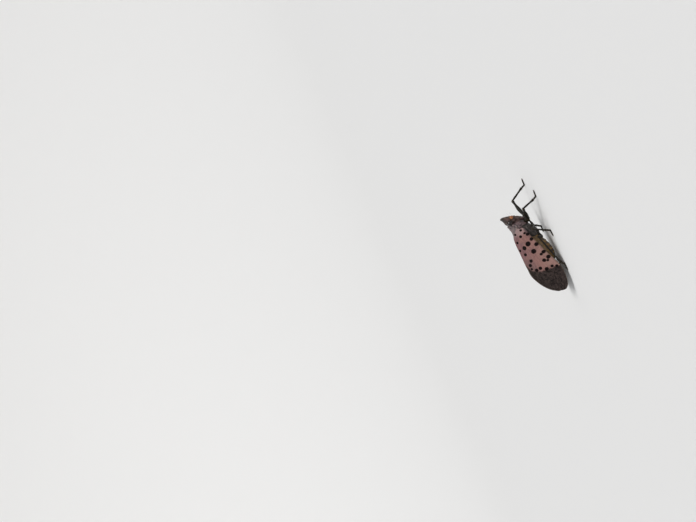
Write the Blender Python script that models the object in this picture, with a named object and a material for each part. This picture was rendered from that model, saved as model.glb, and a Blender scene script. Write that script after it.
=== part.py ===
# Spotted lanternfly at rest, life size, standing on a floor.
# It faces -Y. Its left side is +X. All sizes here are millimetres, and MM turns them into metres.
# "Station" means the distance back from the foremost foot, before the model is centred.

import math

import bmesh
import bpy
import numpy as np
from mathutils import Vector

MM = 0.001
GAP = 0.08  # the thin cut between neighbouring plates and limb pieces

# Driving sizes
WING_THICKNESS = 0.5
WING_BULGE = 0.55
HINDWING_DEPTH = WING_THICKNESS + 0.12  # how far under the forewing's outer face it starts
HINDWING_THICKNESS = 0.5
SHIELD_THICKNESS = 0.5
EYE_CENTRE = (1.52, 8.62, 8.3)
EYE_RADII = (0.62, 0.8, 0.82)
FOOT_RADIUS = 0.25
FOOT_HEIGHT = 0.15  # of its middle line: less than its radius, so what reaches lower is cut flat

# Side view of the trunk: station, underside height, top height, half width
TRUNK = [
    (9.2, 4.9, 9.2, 1.75),
    (9.8, 4.3, 9.05, 2.25),
    (10.4, 3.85, 8.75, 2.4),
    (11.4, 3.4, 8.15, 2.4),
    (12.6, 3.05, 7.5, 2.3),
    (14.0, 2.6, 6.85, 2.35),
    (16.0, 2.0, 6.35, 2.6),
    (18.0, 1.6, 5.9, 2.65),
    (20.0, 1.45, 5.25, 2.3),
    (21.4, 1.55, 4.5, 1.65),
    (22.4, 1.9, 3.8, 0.95),
    (22.9, 2.4, 3.2, 0.3),
]
PROTHORAX = (9.2, 10.1)
THORAX = (10.1 + GAP, 14.1)
ABDOMEN = (14.1 + GAP, 21.0)
ABDOMEN_TIP = (21.0 + GAP, 22.9)

# Shield of the back: station, half width, ridge height, arch
SHIELD = [
    (10.18, 1.8, 8.97, 0.27),
    (10.5, 2.2, 8.87, 0.28),
    (10.85, 2.32, 8.79, 0.28),
    (11.3, 1.92, 8.75, 0.27),
    (11.9, 1.36, 8.76, 0.24),
    (12.5, 0.78, 8.8, 0.2),
    (13.0, 0.3, 8.82, 0.2),
]

# Head from the mouth up to the raised front of the crown: height, front, back, half width
HEAD = [
    (4.25, 8.62, 9.02, 0.32),
    (4.8, 8.22, 9.0, 0.62),
    (5.6, 7.72, 9.02, 1.0),
    (6.6, 7.22, 9.06, 1.32),
    (7.5, 6.92, 9.08, 1.46),
    (8.3, 6.74, 9.06, 1.46),
    (9.0, 6.62, 8.95, 1.4),
    (9.5, 6.58, 8.4, 1.3),
    (9.9, 6.6, 7.65, 1.12),
    (10.15, 6.7, 7.2, 0.8),
]

# Forewing edges from base to tip: half width, station, height
CREST = [
    (2.45, 11.05, 7.4),
    (1.8, 11.8, 8.17),
    (1.05, 12.6, 8.76),
    (0.4, 13.4, 9.05),
    (0.1, 14.4, 9.1),
    (0.1, 17.0, 9.05),
    (0.1, 20.5, 8.95),
    (0.1, 24.0, 8.68),
    (0.12, 26.0, 7.75),
    (0.3, 27.7, 6.6),
    (1.05, 28.9, 5.4),
    (2.5, 29.8, 4.05),
    (4.0, 30.25, 3.0),
]
LOWER_EDGE = [
    (3.15, 10.85, 5.75),
    (3.75, 12.6, 5.4),
    (4.4, 14.5, 4.9),
    (4.95, 16.3, 4.22),
    (5.4, 18.0, 3.62),
    (5.75, 19.6, 3.05),
    (5.98, 21.2, 2.32),
    (6.15, 23.0, 1.6),
    (6.22, 24.8, 1.2),
    (6.2, 26.4, 1.15),
    (6.02, 28.2, 1.3),
    (5.6, 29.4, 1.62),
    (5.05, 30.1, 2.2),
]

# Legs: where the coxa starts in the body, hip, knee and ankle, as x, station, height
LEGS = {
    "front_left": [(1.0, 9.85, 4.7), (2.55, 8.1, 3.6), (4.5, 3.35, 4.75), (4.25, 1.2, 1.2)],
    "front_right": [(-1.0, 9.85, 4.7), (-2.5, 9.5, 3.55), (-6.2, 6.6, 4.2), (-8.0, 5.6, 1.15)],
    "middle_left": [(1.05, 11.6, 3.9), (2.25, 11.5, 3.0), (5.5, 10.4, 4.1), (6.9, 11.9, 1.15)],
    "middle_right": [(-1.05, 11.6, 3.9), (-2.25, 11.9, 3.0), (-5.4, 12.5, 4.0), (-6.9, 14.1, 1.15)],
    "hind_left": [(0.85, 13.6, 3.2), (1.55, 15.2, 2.1), (5.2, 14.5, 3.5), (7.5, 22.7, 0.95)],
    "hind_right": [(-0.85, 13.6, 3.2), (-1.55, 15.2, 2.1), (-5.2, 14.8, 3.5), (-6.2, 23.4, 0.95)],
}
# Feet lie on the floor from the ball to the tip: x, station
FEET = {
    "front_left": [(4.2, 0.72), (4.05, -0.75)],
    "front_right": [(-8.2, 5.05), (-8.6, 3.7)],
    "middle_left": [(7.15, 12.5), (7.75, 13.85)],
    "middle_right": [(-7.15, 14.65), (-7.75, 16.0)],
    "hind_left": [(7.7, 23.3), (8.15, 24.8)],
    "hind_right": [(-6.32, 24.05), (-6.65, 25.6)],
}
# Radii from body to foot: coxa, thigh at its start, middle and end, shin, foot
LEG_RADII = {
    "front": (0.6, 0.38, 0.5, 0.33, 0.28, FOOT_RADIUS),
    "middle": (0.58, 0.3, 0.36, 0.28, 0.25, FOOT_RADIUS),
    "hind": (0.6, 0.32, 0.4, 0.3, 0.27, FOOT_RADIUS),
}
HIND_SPURS = (0.3, 0.45, 0.6, 0.76)  # places of the teeth along the hind shin
SPUR_LENGTH = 0.42

# Base colour, roughness
COLOURS = {
    "head": ((0.085, 0.062, 0.052), 0.6),
    "eye": ((0.02, 0.008, 0.006), 0.2),
    "antenna": ((0.62, 0.16, 0.02), 0.5),
    "rostrum": ((0.02, 0.014, 0.012), 0.45),
    "prothorax": ((0.11, 0.075, 0.07), 0.6),
    "mesonotum": ((0.1, 0.07, 0.066), 0.6),
    "thorax": ((0.05, 0.035, 0.03), 0.6),
    "tegula": ((0.13, 0.08, 0.07), 0.55),
    "forewing": ((0.32, 0.18, 0.16), 0.6),
    "hindwing": ((0.42, 0.03, 0.02), 0.55),
    "abdomen": ((0.55, 0.36, 0.06), 0.55),
    "leg": ((0.025, 0.016, 0.012), 0.4),
}


def smooth(points, places):
    """Reads a smooth curve through the given points at places from 0 to 1 of its length."""
    points = np.array(points, float)
    reach = np.r_[0, np.cumsum(np.linalg.norm(np.diff(points, axis=0), axis=1))]
    reach /= reach[-1]
    slope = np.gradient(points, reach, axis=0)
    places = np.clip(np.atleast_1d(np.asarray(places, float)), 0, 1)
    at = np.clip(np.searchsorted(reach, places) - 1, 0, len(points) - 2)
    step = (reach[at + 1] - reach[at])[:, None]
    f = (places[:, None] - reach[at][:, None]) / step
    return (
        points[at] * (1 + 2 * f) * (1 - f) ** 2
        + slope[at] * step * f * (1 - f) ** 2
        + points[at + 1] * f * f * (3 - 2 * f)
        - slope[at + 1] * step * f * f * (1 - f)
    )


def by_column(table, wanted):
    """Interpolates the other columns of a table smoothly at the wanted values of its first one."""
    table = np.array(table, float)
    keys = table[:, 0]
    slope = np.gradient(table, keys, axis=0)
    wanted = np.clip(np.asarray(wanted, float), keys[0], keys[-1])
    at = np.clip(np.searchsorted(keys, wanted) - 1, 0, len(keys) - 2)
    step = (keys[at + 1] - keys[at])[:, None]
    f = (wanted[:, None] - keys[at][:, None]) / step
    read = (
        table[at] * (1 + 2 * f) * (1 - f) ** 2
        + slope[at] * step * f * (1 - f) ** 2
        + table[at + 1] * f * f * (3 - 2 * f)
        - slope[at + 1] * step * f * f * (1 - f)
    )
    return read[:, 1:]


def material_for(kind):
    """One plain Principled material, with the colour and roughness of that kind of surface."""
    colour, roughness = COLOURS[kind]
    material = bpy.data.materials.new(kind)
    material.use_nodes = True
    shader = material.node_tree.nodes["Principled BSDF"]
    shader.inputs["Base Color"].default_value = (*colour, 1)
    shader.inputs["Roughness"].default_value = roughness
    shader.inputs["Metallic"].default_value = 0
    return material


def new_object(name, kind, verts, faces):
    """Makes an object from points in millimetres, with its faces turned outwards."""
    mesh = bpy.data.meshes.new(name)
    mesh.from_pydata([[c * MM for c in v] for v in verts], [], faces)
    made = bmesh.new()
    made.from_mesh(mesh)
    bmesh.ops.triangulate(made, faces=made.faces)
    bmesh.ops.recalc_face_normals(made, faces=made.faces)
    made.to_mesh(mesh)
    made.free()
    mesh.shade_smooth()
    mesh.set_sharp_from_angle(angle=math.radians(50))
    mesh.materials.append(material_for(kind))
    thing = bpy.data.objects.new(name, mesh)
    bpy.context.scene.collection.objects.link(thing)
    return thing


def loft(name, kind, rings):
    """Joins rings of equally many points into a closed body, each end closed by a fan."""
    count = len(rings[0])
    verts = [tuple(p) for ring in rings for p in ring]
    faces = []
    for low in range(len(rings) - 1):
        for i in range(count):
            j = (i + 1) % count
            a, b = low * count, (low + 1) * count
            faces.append((a + i, a + j, b + j, b + i))
    for start, ring in ((0, rings[0]), ((len(rings) - 1) * count, rings[-1])):
        verts.append(tuple(np.mean(ring, axis=0)))
        hub = len(verts) - 1
        for i in range(count):
            faces.append((start + i, start + (i + 1) % count, hub))
    return new_object(name, kind, verts, faces)


def trunk_ring(station, sides, grow=0.0):
    """A cross-section of the trunk: round below, slightly roof-shaped above, under the wings."""
    low, high, half = by_column(TRUNK, [station])[0]
    middle = low + 0.42 * (high - low)
    ring = []
    for i in range(sides):
        angle = 2 * math.pi * i / sides
        c, s = math.cos(angle), math.sin(angle)
        power = 0.92 if s < 0 else 1.06
        x = (half + grow) * math.copysign(abs(c) ** power, c)
        rise = (high - middle if s > 0 else middle - low) + grow
        ring.append((x, station, middle + rise * math.copysign(abs(s) ** power, s)))
    return ring


def trunk_piece(name, kind, span, steps, sides):
    """A length of the trunk between two upright cuts."""
    stations = np.linspace(span[0], span[1], steps)
    return loft(name, kind, [trunk_ring(s, sides) for s in stations])


def head_ring(height, sides):
    """A level cross-section of the head, flat across the face and round behind."""
    front, back, half = by_column(HEAD, [height])[0]
    middle = (front + back) / 2
    ring = []
    for i in range(sides):
        angle = 2 * math.pi * i / sides
        c, s = math.cos(angle), math.sin(angle)
        x = half * math.copysign(abs(c) ** 0.75, c)
        ring.append((x, middle + (back - front) / 2 * math.copysign(abs(s) ** 0.8, s), height))
    return ring


def ellipsoid(name, kind, centre, radii, columns=16, rows=9):
    """A closed ellipsoid with poles to left and right."""
    verts = [(centre[0] - radii[0], centre[1], centre[2])]
    for r in range(1, rows):
        polar = math.pi * r / rows
        for i in range(columns):
            turn = 2 * math.pi * i / columns
            x = centre[0] - radii[0] * math.cos(polar)
            y = centre[1] + radii[1] * math.sin(polar) * math.cos(turn)
            z = centre[2] + radii[2] * math.sin(polar) * math.sin(turn)
            verts.append((x, y, z))
    verts.append((centre[0] + radii[0], centre[1], centre[2]))
    last = len(verts) - 1
    faces = []
    for i in range(columns):
        j = (i + 1) % columns
        faces.append((0, 1 + i, 1 + j))
        faces.append((last, last - columns + j, last - columns + i))
        for r in range(rows - 2):
            a = 1 + r * columns
            faces.append((a + i, a + j, a + columns + j, a + columns + i))
    return new_object(name, kind, verts, faces)


def cut(thing, tool):
    """Takes the tool's volume out of the thing, then drops the tool."""
    change = thing.modifiers.new("cut", "BOOLEAN")
    change.operation = "DIFFERENCE"
    change.object = tool
    graph = bpy.context.evaluated_depsgraph_get()
    mesh = bpy.data.meshes.new_from_object(thing.evaluated_get(graph))
    thing.modifiers.clear()
    thing.data = mesh
    bpy.data.objects.remove(tool)


def wing_frame(along, down):
    """A point on the forewing's outer face, and the way into the body there."""
    top = smooth(CREST, along)
    low = smooth(LOWER_EDGE, along)
    chord = low - top
    face = np.stack([-chord[:, 2], np.zeros(len(top)), chord[:, 0]], 1)
    face /= np.linalg.norm(face, axis=1)[:, None]
    rise = 4 * down * (1 - down) * WING_BULGE * np.sin(np.pi * np.clip(along * 1.1, 0, 1)) ** 0.5
    outer = top + chord * down[:, None] + face * rise[:, None]
    # Near the crest the thickness goes straight down, so that the two wings stay apart.
    lean = np.clip(down / 0.3, 0, 1)[:, None]
    inwards = lean * -face + (1 - lean) * np.array([0.0, 0.0, -1.35])
    return outer, inwards


def wing(name, kind, side, along, down, depth, thickness):
    """A thin curved plate: an outer grid, an inner grid and the rim between them."""
    rows, columns = len(along), len(down)
    a, d = (g.ravel() for g in np.meshgrid(along, down, indexing="ij"))
    outer, inwards = wing_frame(a, d)
    sheets = [outer + inwards * depth, outer + inwards * (depth + thickness)]
    verts = [(side * p[0], p[1], p[2]) for sheet in sheets for p in sheet]
    behind = rows * columns
    faces = []
    for r in range(rows - 1):
        for c in range(columns - 1):
            i = r * columns + c
            quad = (i, i + 1, i + columns + 1, i + columns)
            faces.append(quad)
            faces.append(tuple(behind + k for k in quad))
    rim = [c for c in range(columns)]
    rim += [r * columns + columns - 1 for r in range(1, rows)]
    rim += [(rows - 1) * columns + c for c in range(columns - 2, -1, -1)]
    rim += [r * columns for r in range(rows - 2, 0, -1)]
    for k, i in enumerate(rim):
        j = rim[(k + 1) % len(rim)]
        faces.append((i, j, behind + j, behind + i))
    return new_object(name, kind, verts, faces)


def limb(name, kind, path, radii, sides, before=None, after=None, floor=False, teeth=()):
    """A tapering limb piece along a path. Where another piece comes before or after it, its end
    lies in the plane that halves the bend, half a gap back from it. Otherwise the end is round."""
    path = [Vector(p) for p in path]
    ways = [(b - a).normalized() for a, b in zip(path, path[1:])]
    start = (Vector(before) - path[0]).normalized() * -1 if before else None
    end = (Vector(after) - path[-1]).normalized() if after else None
    normals = [(ways[0] + start).normalized() if start else ways[0]]
    normals += [(a + b).normalized() for a, b in zip(ways, ways[1:])]
    normals.append((ways[-1] + end).normalized() if end else ways[-1])
    across = ways[0].orthogonal().normalized()
    rings = []
    stops = list(zip(path, normals, radii, [ways[0], *ways], [*ways, ways[-1]]))
    for k, (point, normal, radius, way_in, way_out) in enumerate(stops):
        way = way_out if k == 0 else way_in
        across = (across - way * across.dot(way)).normalized()
        other = way.cross(across)
        shift = 0.0
        if k == 0 and start:
            shift = GAP / 2
        if k == len(path) - 1 and end:
            shift = -GAP / 2
        ring = []
        for i in range(sides):
            turn = 2 * math.pi * i / sides
            p = point + (across * math.cos(turn) + other * math.sin(turn)) * radius
            # Slides the point along the limb onto the halving plane.
            p += way * ((shift - (p - point).dot(normal)) / way.dot(normal))
            ring.append(p)
        rings.append(ring)
    if start is None:
        rings.insert(0, [path[0].lerp(p, 0.55) - ways[0] * radii[0] * 0.5 for p in rings[0]])
    if end is None:
        rings.append([path[-1].lerp(p, 0.55) + ways[-1] * radii[-1] * 0.5 for p in rings[-1]])
    for row, corner in teeth:
        tip = rings[row][corner]
        centre = sum(rings[row], Vector()) / sides
        rings[row][corner] = tip + (tip - centre).normalized() * SPUR_LENGTH + ways[0] * 0.2
    if floor:
        rings = [[Vector((p.x, p.y, max(p.z, 0.0))) for p in ring] for ring in rings]
    return loft(name, kind, [[tuple(p) for p in ring] for ring in rings])


def shield(name, kind, sections, columns, top, bottom):
    """An arched plate over the back. Sections give station, half width, ridge height, arch."""
    rows = len(sections)
    verts = []
    for rise in (top, bottom):
        for station, half, ridge, arch in sections:
            for c in range(columns):
                x = half * (2 * c / (columns - 1) - 1)
                verts.append((x, station, ridge - arch * x * x + rise))
    behind = rows * columns
    faces = []
    for r in range(rows - 1):
        for c in range(columns - 1):
            i = r * columns + c
            quad = (i, i + 1, i + columns + 1, i + columns)
            faces.append(quad)
            faces.append(tuple(behind + k for k in quad))
    rim = [c for c in range(columns)]
    rim += [r * columns + columns - 1 for r in range(1, rows)]
    rim += [(rows - 1) * columns + c for c in range(columns - 2, -1, -1)]
    rim += [r * columns for r in range(rows - 2, 0, -1)]
    for k, i in enumerate(rim):
        j = rim[(k + 1) % len(rim)]
        faces.append((i, j, behind + j, behind + i))
    return new_object(name, kind, verts, faces)


def make_head():
    """Head with its crown, face and mouth shield, and the collar behind it. Both have room for
    the eyes."""
    heights = np.linspace(HEAD[0][0], HEAD[-1][0], 15)
    head = loft("head", "head", [head_ring(h, 20) for h in heights])
    collar = trunk_piece("prothorax", "prothorax", PROTHORAX, 5, 24)
    for side in (1, -1):
        centre = (side * EYE_CENTRE[0], *EYE_CENTRE[1:])
        for thing in (head, collar):
            cut(thing, ellipsoid("socket", "eye", centre, [r + GAP for r in EYE_RADII]))
        name = "left" if side > 0 else "right"
        ellipsoid(f"eye_{name}", "eye", centre, EYE_RADII)


def make_antenna(side, name):
    """Short stalk and warty bulb under the eye, ending in the stub of the bristle."""
    root = Vector((side * 1.65, 7.5, 7.65))
    way = Vector((side * 0.86, -0.34, -0.3)).normalized()
    reach = (0, 0.14, 0.3, 0.52, 0.7, 0.82)
    radii = (0.24, 0.25, 0.38, 0.42, 0.36, 0.24)
    path = [tuple(root + way * r) for r in reach]
    limb(f"antenna_{name}", "antenna", path, radii, 12)


def make_back():
    """The middle of the body, and the large shield on it, a rhomb that ends between the wings."""
    thorax = trunk_piece("thorax", "thorax", THORAX, 9, 24)
    shield("mesonotum", "mesonotum", SHIELD, 11, 0.0, -SHIELD_THICKNESS)
    reach = [(s + GAP * (s > 11) - 3 * GAP * (s < 10.3), half + GAP, r, a) for s, half, r, a in SHIELD]
    cut(thorax, shield("room", "thorax", reach, 11, 1.0, -SHIELD_THICKNESS - GAP))


def make_leg(name):
    """One leg: coxa, femur, tibia and tarsus, cut apart at the halving planes of its joints."""
    pair = name.split("_")[0]
    side = 1 if name.endswith("left") else -1
    coxa, thigh, swell, knee_size, shin, foot = LEG_RADII[pair]
    body, hip, knee, ankle = LEGS[name]
    ball, toe = [(*place, FOOT_HEIGHT) for place in FEET[name]]
    swollen = tuple(Vector(hip).lerp(Vector(knee), 0.42) + Vector((0, 0, 0.12)))
    middle = tuple(Vector(body).lerp(Vector(hip), 0.5))
    socket = limb(
        f"coxa_{name}", "leg", [body, middle, hip], [coxa, coxa * 0.86, thigh], 10, after=swollen
    )
    cut(socket, loft("tool", "leg", [trunk_ring(s, 28, GAP) for s in np.linspace(9.2, 18, 23)]))
    limb(
        f"femur_{name}", "leg", [hip, swollen, knee], [thigh, swell, knee_size], 10,
        before=middle, after=ankle,
    )
    if pair == "hind":
        beside = [p + d for p in HIND_SPURS for d in (-0.03, 0.03)]
        places = sorted([0.0, 0.15, 1.0, *HIND_SPURS, *beside])
        rows = [places.index(p) for p in HIND_SPURS]
        path = [tuple(Vector(knee).lerp(Vector(ankle), p)) for p in places]
        radii = [knee_size, *[shin] * (len(path) - 1)]
        corner = outer_corner(path, side, 8)
        teeth = [(row, corner) for row in rows]
    else:
        path = [knee, tuple(Vector(knee).lerp(Vector(ankle), 0.3)), ankle]
        radii, teeth = [knee_size, shin, shin], ()
    limb(f"tibia_{name}", "leg", path, radii, 8, before=swollen, after=ball, teeth=teeth)
    tip = tuple(Vector(ball).lerp(Vector(toe), 0.7))
    limb(
        f"tarsus_{name}", "leg", [ankle, ball, tip, toe], [foot, foot, foot * 0.9, foot * 1.1], 8,
        before=path[-2], floor=True,
    )


def outer_corner(path, side, sides):
    """Which point of a limb's rings faces outwards and down, where the teeth of the shin stand."""
    way = (Vector(path[1]) - Vector(path[0])).normalized()
    across = way.orthogonal().normalized()
    other = way.cross(across)
    wish = Vector((side * 1.0, 0.0, -0.55))
    turns = [2 * math.pi * i / sides for i in range(sides)]
    spread = [(across * math.cos(t) + other * math.sin(t)).dot(wish) for t in turns]
    return spread.index(max(spread))


def centre_on_floor():
    """Moves the whole animal so that its box is centred on the origin, with its feet at zero."""
    things = [o for o in bpy.context.scene.objects if o.type == "MESH"]
    points = np.array([tuple(v.co) for o in things for v in o.data.vertices])
    low, high = points.min(0), points.max(0)
    shift = Vector((-(low[0] + high[0]) / 2, -(low[1] + high[1]) / 2, -low[2]))
    for thing in things:
        for vertex in thing.data.vertices:
            vertex.co += shift


def main():
    for thing in list(bpy.data.objects):
        bpy.data.objects.remove(thing)
    make_head()
    make_back()
    for side, name in ((1, "left"), (-1, "right")):
        make_antenna(side, name)
    mouth = [(0, 8.78, 4.05), (0, 9.15, 3.62), (0, 10.2, 3.2), (0, 12.2, 2.62), (0, 14.0, 2.12)]
    limb("rostrum", "rostrum", mouth, (0.27, 0.27, 0.26, 0.25, 0.2), 8)
    trunk_piece("abdomen", "abdomen", ABDOMEN, 12, 24)
    trunk_piece("abdomen_tip", "abdomen", ABDOMEN_TIP, 5, 18)
    for side, name in ((1, "left"), (-1, "right")):
        shoulder = (side * 2.95, 10.45, 6.55)
        ellipsoid(f"tegula_{name}", "tegula", shoulder, (0.34, 0.5, 0.5), 12, 7)
        along, down = np.linspace(0, 1, 25), np.linspace(0, 1, 11)
        wing(f"forewing_{name}", "forewing", side, along, down, 0.0, WING_THICKNESS)
        along, down = np.linspace(0.14, 0.86, 17), np.linspace(0.02, 0.9, 8)
        wing(
            f"hindwing_{name}", "hindwing", side, along, down, HINDWING_DEPTH, HINDWING_THICKNESS
        )
    for name in LEGS:
        make_leg(name)
    centre_on_floor()


main()
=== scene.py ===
# %% [markdown]
# Spotted lanternfly, life size, at rest.
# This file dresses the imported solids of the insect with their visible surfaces. The solids fix every size and
# place. The surfaces are grids of points worked out in millimetres, because the wings, plates and limbs of an
# insect are all smooth sheets and tubes whose relief follows simple rules.

# %% Load the frame
import math

import bpy
import numpy as np
from mathutils import Matrix, Vector


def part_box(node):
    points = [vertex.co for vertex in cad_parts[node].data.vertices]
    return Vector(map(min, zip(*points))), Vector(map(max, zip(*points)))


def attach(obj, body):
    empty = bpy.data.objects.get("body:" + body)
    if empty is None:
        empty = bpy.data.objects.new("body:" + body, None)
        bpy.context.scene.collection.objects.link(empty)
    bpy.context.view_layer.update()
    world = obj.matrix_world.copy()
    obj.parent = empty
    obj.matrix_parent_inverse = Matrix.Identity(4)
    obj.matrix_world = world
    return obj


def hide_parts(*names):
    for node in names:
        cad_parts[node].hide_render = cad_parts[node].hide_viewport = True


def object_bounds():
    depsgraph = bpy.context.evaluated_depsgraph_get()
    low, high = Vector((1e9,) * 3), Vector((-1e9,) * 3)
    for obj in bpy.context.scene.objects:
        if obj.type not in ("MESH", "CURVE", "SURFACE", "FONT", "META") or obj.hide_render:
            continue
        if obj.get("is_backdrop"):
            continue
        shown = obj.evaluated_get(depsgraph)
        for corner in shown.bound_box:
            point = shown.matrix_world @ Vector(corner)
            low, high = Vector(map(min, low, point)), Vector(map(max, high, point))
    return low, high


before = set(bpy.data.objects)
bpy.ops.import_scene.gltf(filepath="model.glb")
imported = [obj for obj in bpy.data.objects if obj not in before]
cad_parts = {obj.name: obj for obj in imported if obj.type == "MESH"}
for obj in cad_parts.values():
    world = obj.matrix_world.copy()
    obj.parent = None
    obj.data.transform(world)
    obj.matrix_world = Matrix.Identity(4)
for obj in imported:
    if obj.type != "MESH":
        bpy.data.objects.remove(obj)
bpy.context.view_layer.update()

# %% [markdown]
# All shapes below are written in millimetres as x (to the insect's left), station (back from the foremost foot)
# and height. The solids are centred on the origin, so one known station, the front of the abdomen, and the
# abdomen's middle tell how far to shift. That keeps the drawing readable and still exact.

# %% Millimetres to the frame
MM = 0.001
ABDOMEN_START = 14.18

low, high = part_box("abdomen")
SHIFT = np.array([(low[0] + high[0]) / 2, low[1] - ABDOMEN_START * MM, 0.0])


def in_frame(points):
    """Turns x, station, height in millimetres into the frame's metres."""
    return np.asarray(points, float) * MM + SHIFT


print("shift of the drawing in mm:", np.round(SHIFT / MM, 3))

# %% [markdown]
# A body outline needs only a few chosen points if a smooth curve runs through them. A Hermite curve does that
# without bulging past its points, which a Bezier handle would have to be tuned for.

# %% Smooth curves through chosen points
def smooth(points, places):
    """Reads a smooth curve through the given points at places from 0 to 1 of its length."""
    points = np.array(points, float)
    reach = np.r_[0, np.cumsum(np.linalg.norm(np.diff(points, axis=0), axis=1))]
    return hermite(points, reach / reach[-1], places)


def by_column(table, wanted):
    """Reads the other columns of a table smoothly at the wanted values of its first column."""
    table = np.array(table, float)
    return hermite(table, table[:, 0], wanted)[..., 1:]


def hermite(points, keys, wanted):
    """The smooth curve itself: points stand at keys, and the slope at each is the mean of its sides."""
    slope = np.gradient(points, keys, axis=0)
    wanted = np.clip(np.asarray(wanted, float), keys[0], keys[-1])
    at = np.clip(np.searchsorted(keys, wanted) - 1, 0, len(keys) - 2)
    step = (keys[at + 1] - keys[at])[..., None]
    f = (wanted - keys[at])[..., None] / step
    rest = 1 - f
    return (
        points[at] * (1 + 2 * f) * rest**2
        + slope[at] * step * f * rest**2
        + points[at + 1] * f * f * (3 - 2 * f)
        - slope[at + 1] * step * f * f * rest
    )


def unit(vectors):
    """Vectors of length one."""
    return vectors / np.maximum(np.linalg.norm(vectors, axis=-1, keepdims=True), 1e-12)


# %% [markdown]
# Every surface starts as a grid of points in rows. Its own normals come from the two directions of the grid, so
# keels, seams and dents can be added as a small lift along them. A keel is written as the line it runs along,
# its lift and its width, which is how a carver would mark it.

# %% Relief on a grid
def normals_of(grid, wrap=True):
    """Outward normals of a grid of points; wrap joins its last column to its first."""
    if wrap:
        across = np.roll(grid, -1, 1) - np.roll(grid, 1, 1)
    else:
        across = np.gradient(grid, axis=1)
    return unit(np.cross(across, np.gradient(grid, axis=0)))


def distance_to(points, line, samples=60):
    """Distance from each point to a smooth line through a few chosen points."""
    line = smooth(line, np.linspace(0, 1, samples))
    best = np.full(points.shape[:-1], 1e9)
    for a, v in zip(line[:-1], np.diff(line, axis=0)):
        f = np.clip(((points - a) @ v) / max(v @ v, 1e-12), 0, 1)
        best = np.minimum(best, np.linalg.norm(points - a - f[..., None] * v, axis=-1))
    return best


def nearness(points, lines, width):
    """1 on any of the lines, falling to 0 over about their width."""
    near = np.zeros(points.shape[:-1])
    for line in lines:
        near = np.maximum(near, np.exp(-((distance_to(points, line) / width) ** 2)))
    return near


def drawn(points, lines, width, axes, facing):
    """Nearness to lines drawn on the surface as seen along one axis, only where it faces the eye."""
    flat = points * 0.0
    flat[..., :2] = points[..., axes]
    return nearness(flat, [[(*p, 0.0) for p in line] for line in lines], width) * facing


def both_sides(lines):
    """Each line and its mirror image."""
    return [line for one in lines for line in (one, [(-x, *rest) for x, *rest in one])]


def ripple(points, size, seed):
    """Slow unevenness from a few crossing waves, between about -1 and 1."""
    dice = np.random.default_rng(seed)
    total = np.zeros(points.shape[:-1])
    for _ in range(6):
        way = unit(dice.normal(size=3)) * dice.uniform(0.7, 1.5) * 2 * math.pi / size
        total += np.sin(points @ way + dice.uniform(0, 2 * math.pi))
    return total / 4


# %% [markdown]
# Shapes are gathered as points and faces before they become a mesh, so that a shin and its hundred bristles are
# one piece. Each part may carry marks, such as how close a point is to a keel, which the finish reads later.

# %% Grids, tubes, balls and bristles
class Shape:
    """Points and faces of one piece, in millimetres, with named marks on its points."""

    def __init__(self):
        self.points, self.faces, self.count, self.marks = [], [], 0, []

    def add(self, points, faces, **marks):
        points = np.asarray(points, float).reshape(-1, 3)
        self.marks += [(name, self.count, np.asarray(mark, float)) for name, mark in marks.items()]
        self.points.append(points)
        self.faces += (np.asarray(faces) + self.count).tolist()
        self.count += len(points)
        return self

    def grid(self, grid, wrap=True, inside_out=False, **marks):
        """Adds the faces between the points of a grid."""
        rows, columns = grid.shape[:2]
        r, c = np.meshgrid(np.arange(rows - 1), np.arange(columns - (not wrap)), indexing="ij")
        a, b = r * columns + c, r * columns + (c + 1) % columns
        quads = np.stack([a, b, b + columns, a + columns], -1).reshape(-1, 4)
        return self.add(grid, quads[:, ::-1] if inside_out else quads, **marks)

    def body(self, grid, **marks):
        """Adds a grid that wraps round, and closes both its ends."""
        rows, columns = grid.shape[:2]
        start, c = self.count, np.arange(columns)
        self.grid(grid, **marks)
        last, hubs = (rows - 1) * columns + start, self.count
        self.points.append(np.stack([grid[0].mean(0), grid[-1].mean(0)]))
        self.count += 2
        for name, mark in marks.items():
            flat = np.asarray(mark, float).reshape(rows, columns, -1)
            ends = np.stack([flat[0].mean(0), flat[-1].mean(0)])
            self.marks.append((name, hubs, ends if flat.shape[-1] > 1 else ends[:, 0]))
        near = np.stack([start + (c + 1) % columns, start + c, 0 * c + hubs], 1)
        far = np.stack([last + c, last + (c + 1) % columns, 0 * c + hubs + 1], 1)
        self.faces += near.tolist() + far.tolist()
        return self

    def cones(self, roots, ways, lengths, thickness, **marks):
        """Adds a three-sided cone on each root: a bristle or spine."""
        roots, ways = np.atleast_2d(roots), unit(np.atleast_2d(ways))
        lengths = np.broadcast_to(lengths, len(roots))[:, None]
        across = unit(np.cross(ways, np.where(np.abs(ways[:, 2:]) < 0.8, [[0, 0, 1.0]], [[1.0, 0, 0]])))
        other = np.cross(ways, across)
        thick = np.broadcast_to(thickness, len(roots))[:, None]
        turns = [2 * math.pi * k / 3 for k in range(3)]
        base = [roots + (across * math.cos(t) + other * math.sin(t)) * thick for t in turns]
        points = np.stack([*base, roots + ways * lengths], 1)
        faces = np.array([[0, 1, 3], [1, 2, 3], [2, 0, 3], [2, 1, 0]])
        faces = (faces + 4 * np.arange(len(roots))[:, None, None]).reshape(-1, 3)
        marks = {name: np.full(points.size // 3, float(mark)) for name, mark in marks.items()}
        return self.add(points, faces, **marks)

    def mirrored(self):
        """The same shape on the insect's other side."""
        other = Shape()
        other.points = [p * np.array([-1, 1, 1]) for p in self.points]
        other.faces = [face[::-1] for face in self.faces]
        other.count, other.marks = self.count, list(self.marks)
        return other


def line(a, b, rows=40):
    """Evenly spaced points from a to b."""
    return np.asarray(a, float) + (np.asarray(b, float) - a) * np.linspace(0, 1, rows)[:, None]


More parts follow.
